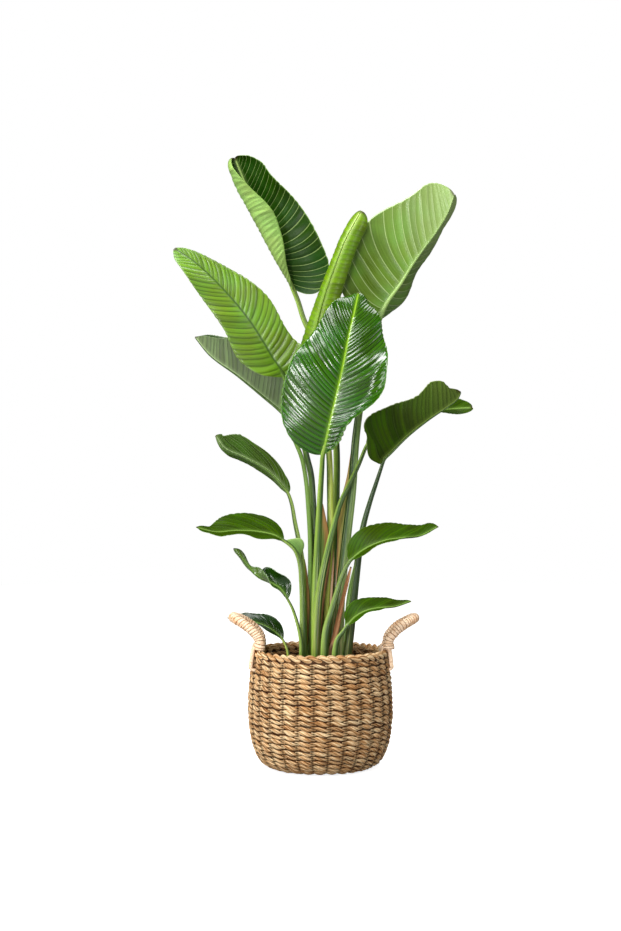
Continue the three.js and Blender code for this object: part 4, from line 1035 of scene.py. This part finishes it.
# Fibre colour: each strand has a tone of its own, broad and fine streaks wind along it, each ply is
# paler on its crest than in the groove beside it, painted light and shade, and the inner value at each
# point lays Deep over it, painted shade in gaps and grooves. Around is how often a streak repeats round
# the strand, Along how often it does lengthwise, Twist the turns per metre by which the fibres wind and
# Plies half the number of plies.
def fibrePatternNodes(tree, given):
    object3, along, around = places(tree)
    turn = (around + along * given["Twist"]) * (2 * math.pi)
    length = along * given["Along"]

    # The same for a strand, across by Around times so many, and along by Along.
    def streaks(times):
        across = [turn.math(kind) * times * given["Around"] for kind in ("COSINE", "SINE")]
        return noise(vectorOf(*across, length), 1.0, 2.0, 0.6)

    broad, fine = streaks(1.0), streaks(3.5)
    ply = abs((turn * given["Plies"]).math("SINE")).math("POWER", 0.5)
    patch = noise(object3, 16.0)
    tone = pointValue(tree, "tone") * 0.22 + broad * 0.85 + fine * 1.1 + patch * 0.22 + ply * 0.28
    body = layered(given["Dark"], (ease(tone, 1.1, 1.36), given["Middle"]),
                   (ease(tone, 1.34, 1.6), given["Light"]),
                   (ease(pointValue(tree, "inner"), 0.15, 0.75, 0.0, 0.94), given["Deep"]))
    return {"Colour": body, "Dullness": fine, "Height": ply * 0.5 + fine}


leafPattern = nodeGroup("leafPattern", ["Upper", "Under", "Rib", "Margin"],
                        ["Contrast", "Lines", "Shade", "Bleach"], leafPatternNodes)
stalkPattern = nodeGroup("stalkPattern", ["Dark", "Light", "Foot", "Rib", "Streak"], [],
                         stalkPatternNodes)
sheathPattern = nodeGroup("sheathPattern", ["Green", "Dry", "Rim"], [], sheathPatternNodes)
fibrePattern = nodeGroup("fibrePattern", ["Light", "Middle", "Dark", "Deep"],
                         ["Around", "Along", "Twist", "Plies"], fibrePatternNodes)


# Colours are screen values. Rib is the colour of the midrib and of the lines in the valleys, partly
# painted highlight where it is paler than the blade; shade darkens the flanks of the pleats with painted
# shade; the paling towards the tip is partly its own paler colour and partly painted sheen; and rough is
# a range.
def leafLook(**look):
    return dict(contrast=1.3, lines=0.0, rough=(0.3, 0.46), coat=0.0, bleach=0.0) | look


leafLooks = {
    "glossy": leafLook(upper=(40, 86, 0), under=(96, 140, 44), rib=(124, 164, 36), margin=(84, 126, 20),
        contrast=1.5, rough=(0.16, 0.24), coat=0.5, shine=0.35, shade=0.75),
    "deep": leafLook(upper=(46, 72, 0), under=(70, 98, 26), rib=(108, 138, 60), margin=(96, 124, 50),
        contrast=2.0, lines=0.35, shine=0.04, shade=0.6),
    "pale": leafLook(upper=(28, 62, 0), under=(132, 164, 84), rib=(168, 198, 112),
        margin=(120, 156, 70), contrast=1.2, lines=0.7, shine=0.12, shade=0.3),
    "grey": leafLook(upper=(66, 96, 40), under=(92, 112, 66), rib=(150, 172, 120),
        margin=(130, 150, 100), lines=0.1, rough=(0.4, 0.55), shine=0.4, shade=0.5),
    "banded": leafLook(upper=(96, 134, 22), under=(102, 134, 26), rib=(60, 92, 20),
        margin=(120, 150, 60), rough=(0.27, 0.4), shine=0.7, shade=0.55),
    "veined": leafLook(upper=(74, 106, 8), under=(88, 122, 32), rib=(184, 208, 136),
        margin=(178, 196, 150), contrast=1.2, lines=0.7, rough=(0.26, 0.42), coat=0.1, shine=0.4,
        bleach=0.42, shade=0.15),
    "young": leafLook(upper=(96, 130, 4), under=(96, 130, 4), rib=(190, 216, 100),
        margin=(120, 160, 40), lines=0.45, rough=(0.28, 0.46), shine=0.4, shade=0.45),
    "olive": leafLook(upper=(30, 54, 0), under=(40, 62, 0), rib=(112, 134, 60), margin=(150, 164, 112),
        contrast=2.2, lines=0.4, rough=(0.26, 0.44), shine=0.08, bleach=0.35, shade=0.6),
    "streaked": leafLook(upper=(46, 74, 8), under=(52, 78, 14), rib=(170, 192, 136),
        margin=(110, 130, 80), contrast=2.0, lines=0.8, shine=0.08, shade=0.5),
    "wet": leafLook(upper=(22, 54, 0), under=(70, 100, 34), rib=(110, 146, 60), margin=(120, 150, 90),
        contrast=1.2, rough=(0.16, 0.3), coat=0.4, shine=0.3, shade=0.5),
    "dry": leafLook(upper=(140, 92, 60), under=(126, 84, 54), rib=(176, 132, 92), margin=(120, 72, 44),
        lines=0.2, rough=(0.6, 0.8), shine=0.2, shade=0.4),
}
# Dark and light are the shaded and the lit side of a stalk, painted shade and light; the rib also
# darkens to dark towards the tip.
stalkLooks = {
    "green": dict(dark=(40, 74, 6), light=(132, 164, 56), foot=(146, 122, 60), rib=(146, 180, 62),
        streak=(190, 202, 120)),
    "yellow": dict(dark=(62, 96, 6), light=(178, 196, 76), foot=(150, 134, 60), rib=(112, 148, 20),
        streak=(214, 214, 136)),
    # A darker set for stalks that stand in shade: partly their own darker green, partly painted shade.
    "dark": dict(dark=(26, 54, 4), light=(96, 132, 44), foot=(110, 100, 44), rib=(62, 90, 18),
        streak=(140, 164, 84)),
    "blue": dict(dark=(34, 66, 16), light=(118, 150, 76), foot=(134, 118, 70), rib=(150, 182, 96),
        streak=(180, 194, 136)),
    "dry": dict(dark=(108, 70, 42), light=(166, 122, 82), foot=(104, 70, 40), rib=(166, 122, 82),
        streak=(206, 172, 128)),
    "fresh": dict(dark=(40, 70, 6), light=(124, 152, 60), foot=(128, 118, 60), rib=(78, 108, 30),
        streak=(160, 180, 100)),
}
sheathLooks = {
    "brown": dict(green=(90, 116, 40), dry=(150, 110, 56), rim=(112, 70, 36)),
    "straw": dict(green=(90, 124, 40), dry=(168, 150, 70), rim=(170, 112, 60)),
    "pink": dict(green=(150, 170, 80), dry=(220, 186, 146), rim=(200, 140, 104)),
    "fresh": dict(green=(92, 130, 52), dry=(118, 154, 74), rim=(150, 180, 100)),
}
# Deep is the painted shade that the inner value lays over a strand in gaps and grooves.
fibreLooks = {
    "seagrass": dict(light=(252, 224, 176), middle=(206, 152, 96), dark=(120, 68, 28), deep=(38, 14, 2),
        around=1.5, along=30.0, twist=12.0, plies=2.0, depth=0.004),
    "rope": dict(light=(246, 222, 194), middle=(226, 190, 154), dark=(200, 150, 106),
        deep=(120, 70, 34), around=1.2, along=500.0, twist=0.0, plies=1.0, depth=0.0008),
}
grainLooks = {
    "pot": dict(dark=(22, 22, 22), light=(44, 43, 41), scale=300.0, rough=(0.4, 0.6), depth=0.0002),
    "soil": dict(dark=(36, 26, 18), light=(92, 68, 46), scale=260.0, rough=(0.85, 1.0), depth=0.003),
    "bark": dict(dark=(70, 46, 30), light=(140, 98, 62), scale=400.0, rough=(0.75, 0.95), depth=0.0006),
}


# A material on a pattern: what it takes from the look goes to its inputs, rough is the roughness over
# its dullness, or one number, and depth is the bump's.
def patternMaterial(name, pattern, look, depth, rough, shader={}):
    def make(tree):
        taken = {item.name for item in pattern.interface.items_tree if item.in_out == "INPUT"}
        inputs = {key.title(): colour(*value) if isinstance(value, tuple) else value
                  for key, value in look.items() if key.title() in taken}
        made = addNode(tree, "Group", inputs, node_tree=pattern)
        roughness = ease(made["Dullness"], 0.3, 0.7, *rough) if "Dullness" in made else rough
        bump = made["Height"], depth
        return {"Base Color": made["Colour"], "Roughness": roughness, "bump": bump} | shader
    return newMaterial(name, make)


# Plastic, soil and bark: a grain on Object coordinates mixes two colours and sets the bump.
def grainMaterial(name, look):
    def make(tree):
        object3 = addNode(tree, "TexCoord")["Object"]
        grain = noise(object3, look["scale"], 5.0, 0.65)
        share = grain * 0.7 + noise(object3, look["scale"] / 9) * 0.5
        body = blend(ease(share, 0.42, 0.8), colour(*look["dark"]), colour(*look["light"]))
        rough = ease(grain, 0.3, 0.7, *look["rough"])
        return {"Base Color": body, "Roughness": rough, "bump": (grain, look["depth"])}
    return newMaterial(name, make)


# A blade's pattern under a thin clear coat.
def bladeMaterial(name, look):
    shader = {"Specular IOR Level": look["shine"], "Coat Weight": look["coat"], "Coat Roughness": 0.16}
    return patternMaterial("blade_" + name, leafPattern, look, 0.0002, look["rough"], shader)


# A strand's pattern on a surface that hardly shines.
def fibreMaterial(name, look):
    shader = {"Specular IOR Level": 0.12}
    return patternMaterial(name, fibrePattern, look, look["depth"], (0.5, 0.75), shader)


blades = {name: bladeMaterial(name, look) for name, look in leafLooks.items()}
stalks = {name: patternMaterial("stalk_" + name, stalkPattern, look, 0.0005, (0.3, 0.5))
          for name, look in stalkLooks.items()}
sheaths = {name: patternMaterial("sheath_" + name, sheathPattern, look, 0.0005, 0.55)
           for name, look in sheathLooks.items()}
for seed, (name, leaf) in enumerate(leafTable.items(), 1):
    leaf = leafUsual | leaf | {"seed": seed}
    makeLeaf(name, leaf, [blades[leaf["blade"]], stalks[leaf["stem"]], sheaths[leaf["sheath"]]])
print("leaves made:", len(leafTable))

seagrass = fibreMaterial("seagrass", fibreLooks["seagrass"])
makeWeave(seagrass)
makeStakeShadeSheet(seagrass)
makeRim(seagrass)
print("basket woven")
rope = fibreMaterial("handleRope", fibreLooks["rope"])
for name, form in handles.items():
    makeHandle(name, form, rope)
print("handles wrapped")
makePot(grainMaterial("potPlastic", grainLooks["pot"]))
makeSoil(grainMaterial("pottingSoil", grainLooks["soil"]),
         grainMaterial("barkChips", grainLooks["bark"]))
print("pot filled")

studio = dict(floorRadius=6.0, floorGlow=0.84, floorSeen=0.8, floorBounce=0.35, ambient=0.2,
              mirrored=0.08, camera=(-0.024, -3.8, 0.722), lens=61.22)
lights = {
    "keyLight": dict(place=(-1.5, -1.7, 3.3), aim=(0, 0, 0.7), size=(1.6, 0.9), power=120),
    "frontLight": dict(place=(-0.5, -2.9, 2.9), aim=(0, 0, 0.8), size=(1.3, 0.7), power=42),
    "lowLight": dict(place=(-1.0, -3.3, 1.45), aim=(0, 0, 0.85), size=(0.9, 0.45), power=12),
    "footLight": dict(place=(-0.8, -2.7, 0.36), aim=(0, 0, 0.85), size=(0.4, 0.6), power=28),
    "fillLight": dict(place=(2.8, -1.6, 1.4), aim=(0, 0, 0.7), size=(1.0, 2.0), power=22),
    "topLight": dict(place=(0.6, 0.4, 3.3), aim=(0, 0, 0.5), size=(1.5, 1.5), power=45),
    "sideLight": dict(place=(-2.8, -0.6, 1.0), aim=(0, 0, 0.6), size=(0.8, 1.8), power=30),
}


# An object in the scene.
def addObject(name, data):
    made = bpy.data.objects.new(name, data)
    bpy.context.scene.collection.objects.link(made)
    return made


# The floor: a flat round sheet, pale, a little below the part's underside. It is bright to the camera
# and throws back less light than it shows.
def makeFloor():
    mesh = bpy.data.meshes.new("studioFloor")
    points = revolve([[studio["floorRadius"], 0]], circle(64))[0]
    mesh.from_pydata(points.tolist(), [], [list(range(64))])

    def make(tree):
        seen = addNode(tree, "LightPath")["Is Camera Ray"]
        bright, dim = ((studio[key],) * 3 + (1,) for key in ("floorSeen", "floorBounce"))
        return {"Base Color": blend(seen, dim, bright), "Roughness": 0.9, "Specular IOR Level": 0.0,
                "Emission Color": (1, 1, 1, 1), "Emission Strength": seen * studio["floorGlow"],
                "bump": (noise(addNode(tree, "TexCoord")["Object"], 40.0), 0.0001)}

    mesh.materials.append(newMaterial("paleFloor", make))
    floor = addObject("studioFloor", mesh)


# The world lights the scene softly, is dim in reflections and shows white straight to the camera.
def makeWorld():
    world = bpy.data.worlds.new("studioWorld")
    bpy.context.scene.world = world
    world.use_nodes = True
    tree = world.node_tree
    tree.nodes.clear()
    path = addNode(tree, "LightPath")
    strength = ease(path["Is Glossy Ray"], 0.0, 1.0, studio["ambient"], studio["mirrored"])
    strength = strength.math("MAXIMUM", path["Is Camera Ray"])
    background = addNode(tree, "Background", {"Color": (1, 1, 1, 1), "Strength": strength})
    addNode(tree, "OutputWorld", {0: background[0]})


# Flat lights, each at its place and turned towards its aim.
def makeLights():
    for name, form in lights.items():
        light = bpy.data.lights.new(name, "AREA")
        light.shape = "RECTANGLE"
        light.size, light.size_y = form["size"]
        light.energy = form["power"]
        lamp = addObject(name, light)
        lamp.location = form["place"]
        aim = Vector(form["aim"]) - Vector(form["place"])
        lamp.rotation_euler = aim.to_track_quat("-Z", "Y").to_euler()


# The camera looks level along Y.
def makeCamera():
    data = bpy.data.cameras.new("studioCamera")
    data.lens = studio["lens"]
    data.sensor_fit = "VERTICAL"
    data.sensor_height = 36
    camera = addObject("studioCamera", data)
    camera.location = studio["camera"]
    camera.rotation_euler = (math.pi / 2, 0, 0)
    bpy.context.scene.camera = camera


makeFloor()
makeWorld()
makeLights()
makeCamera()
bpy.context.scene.view_settings.view_transform = "Standard"
print("studio set")
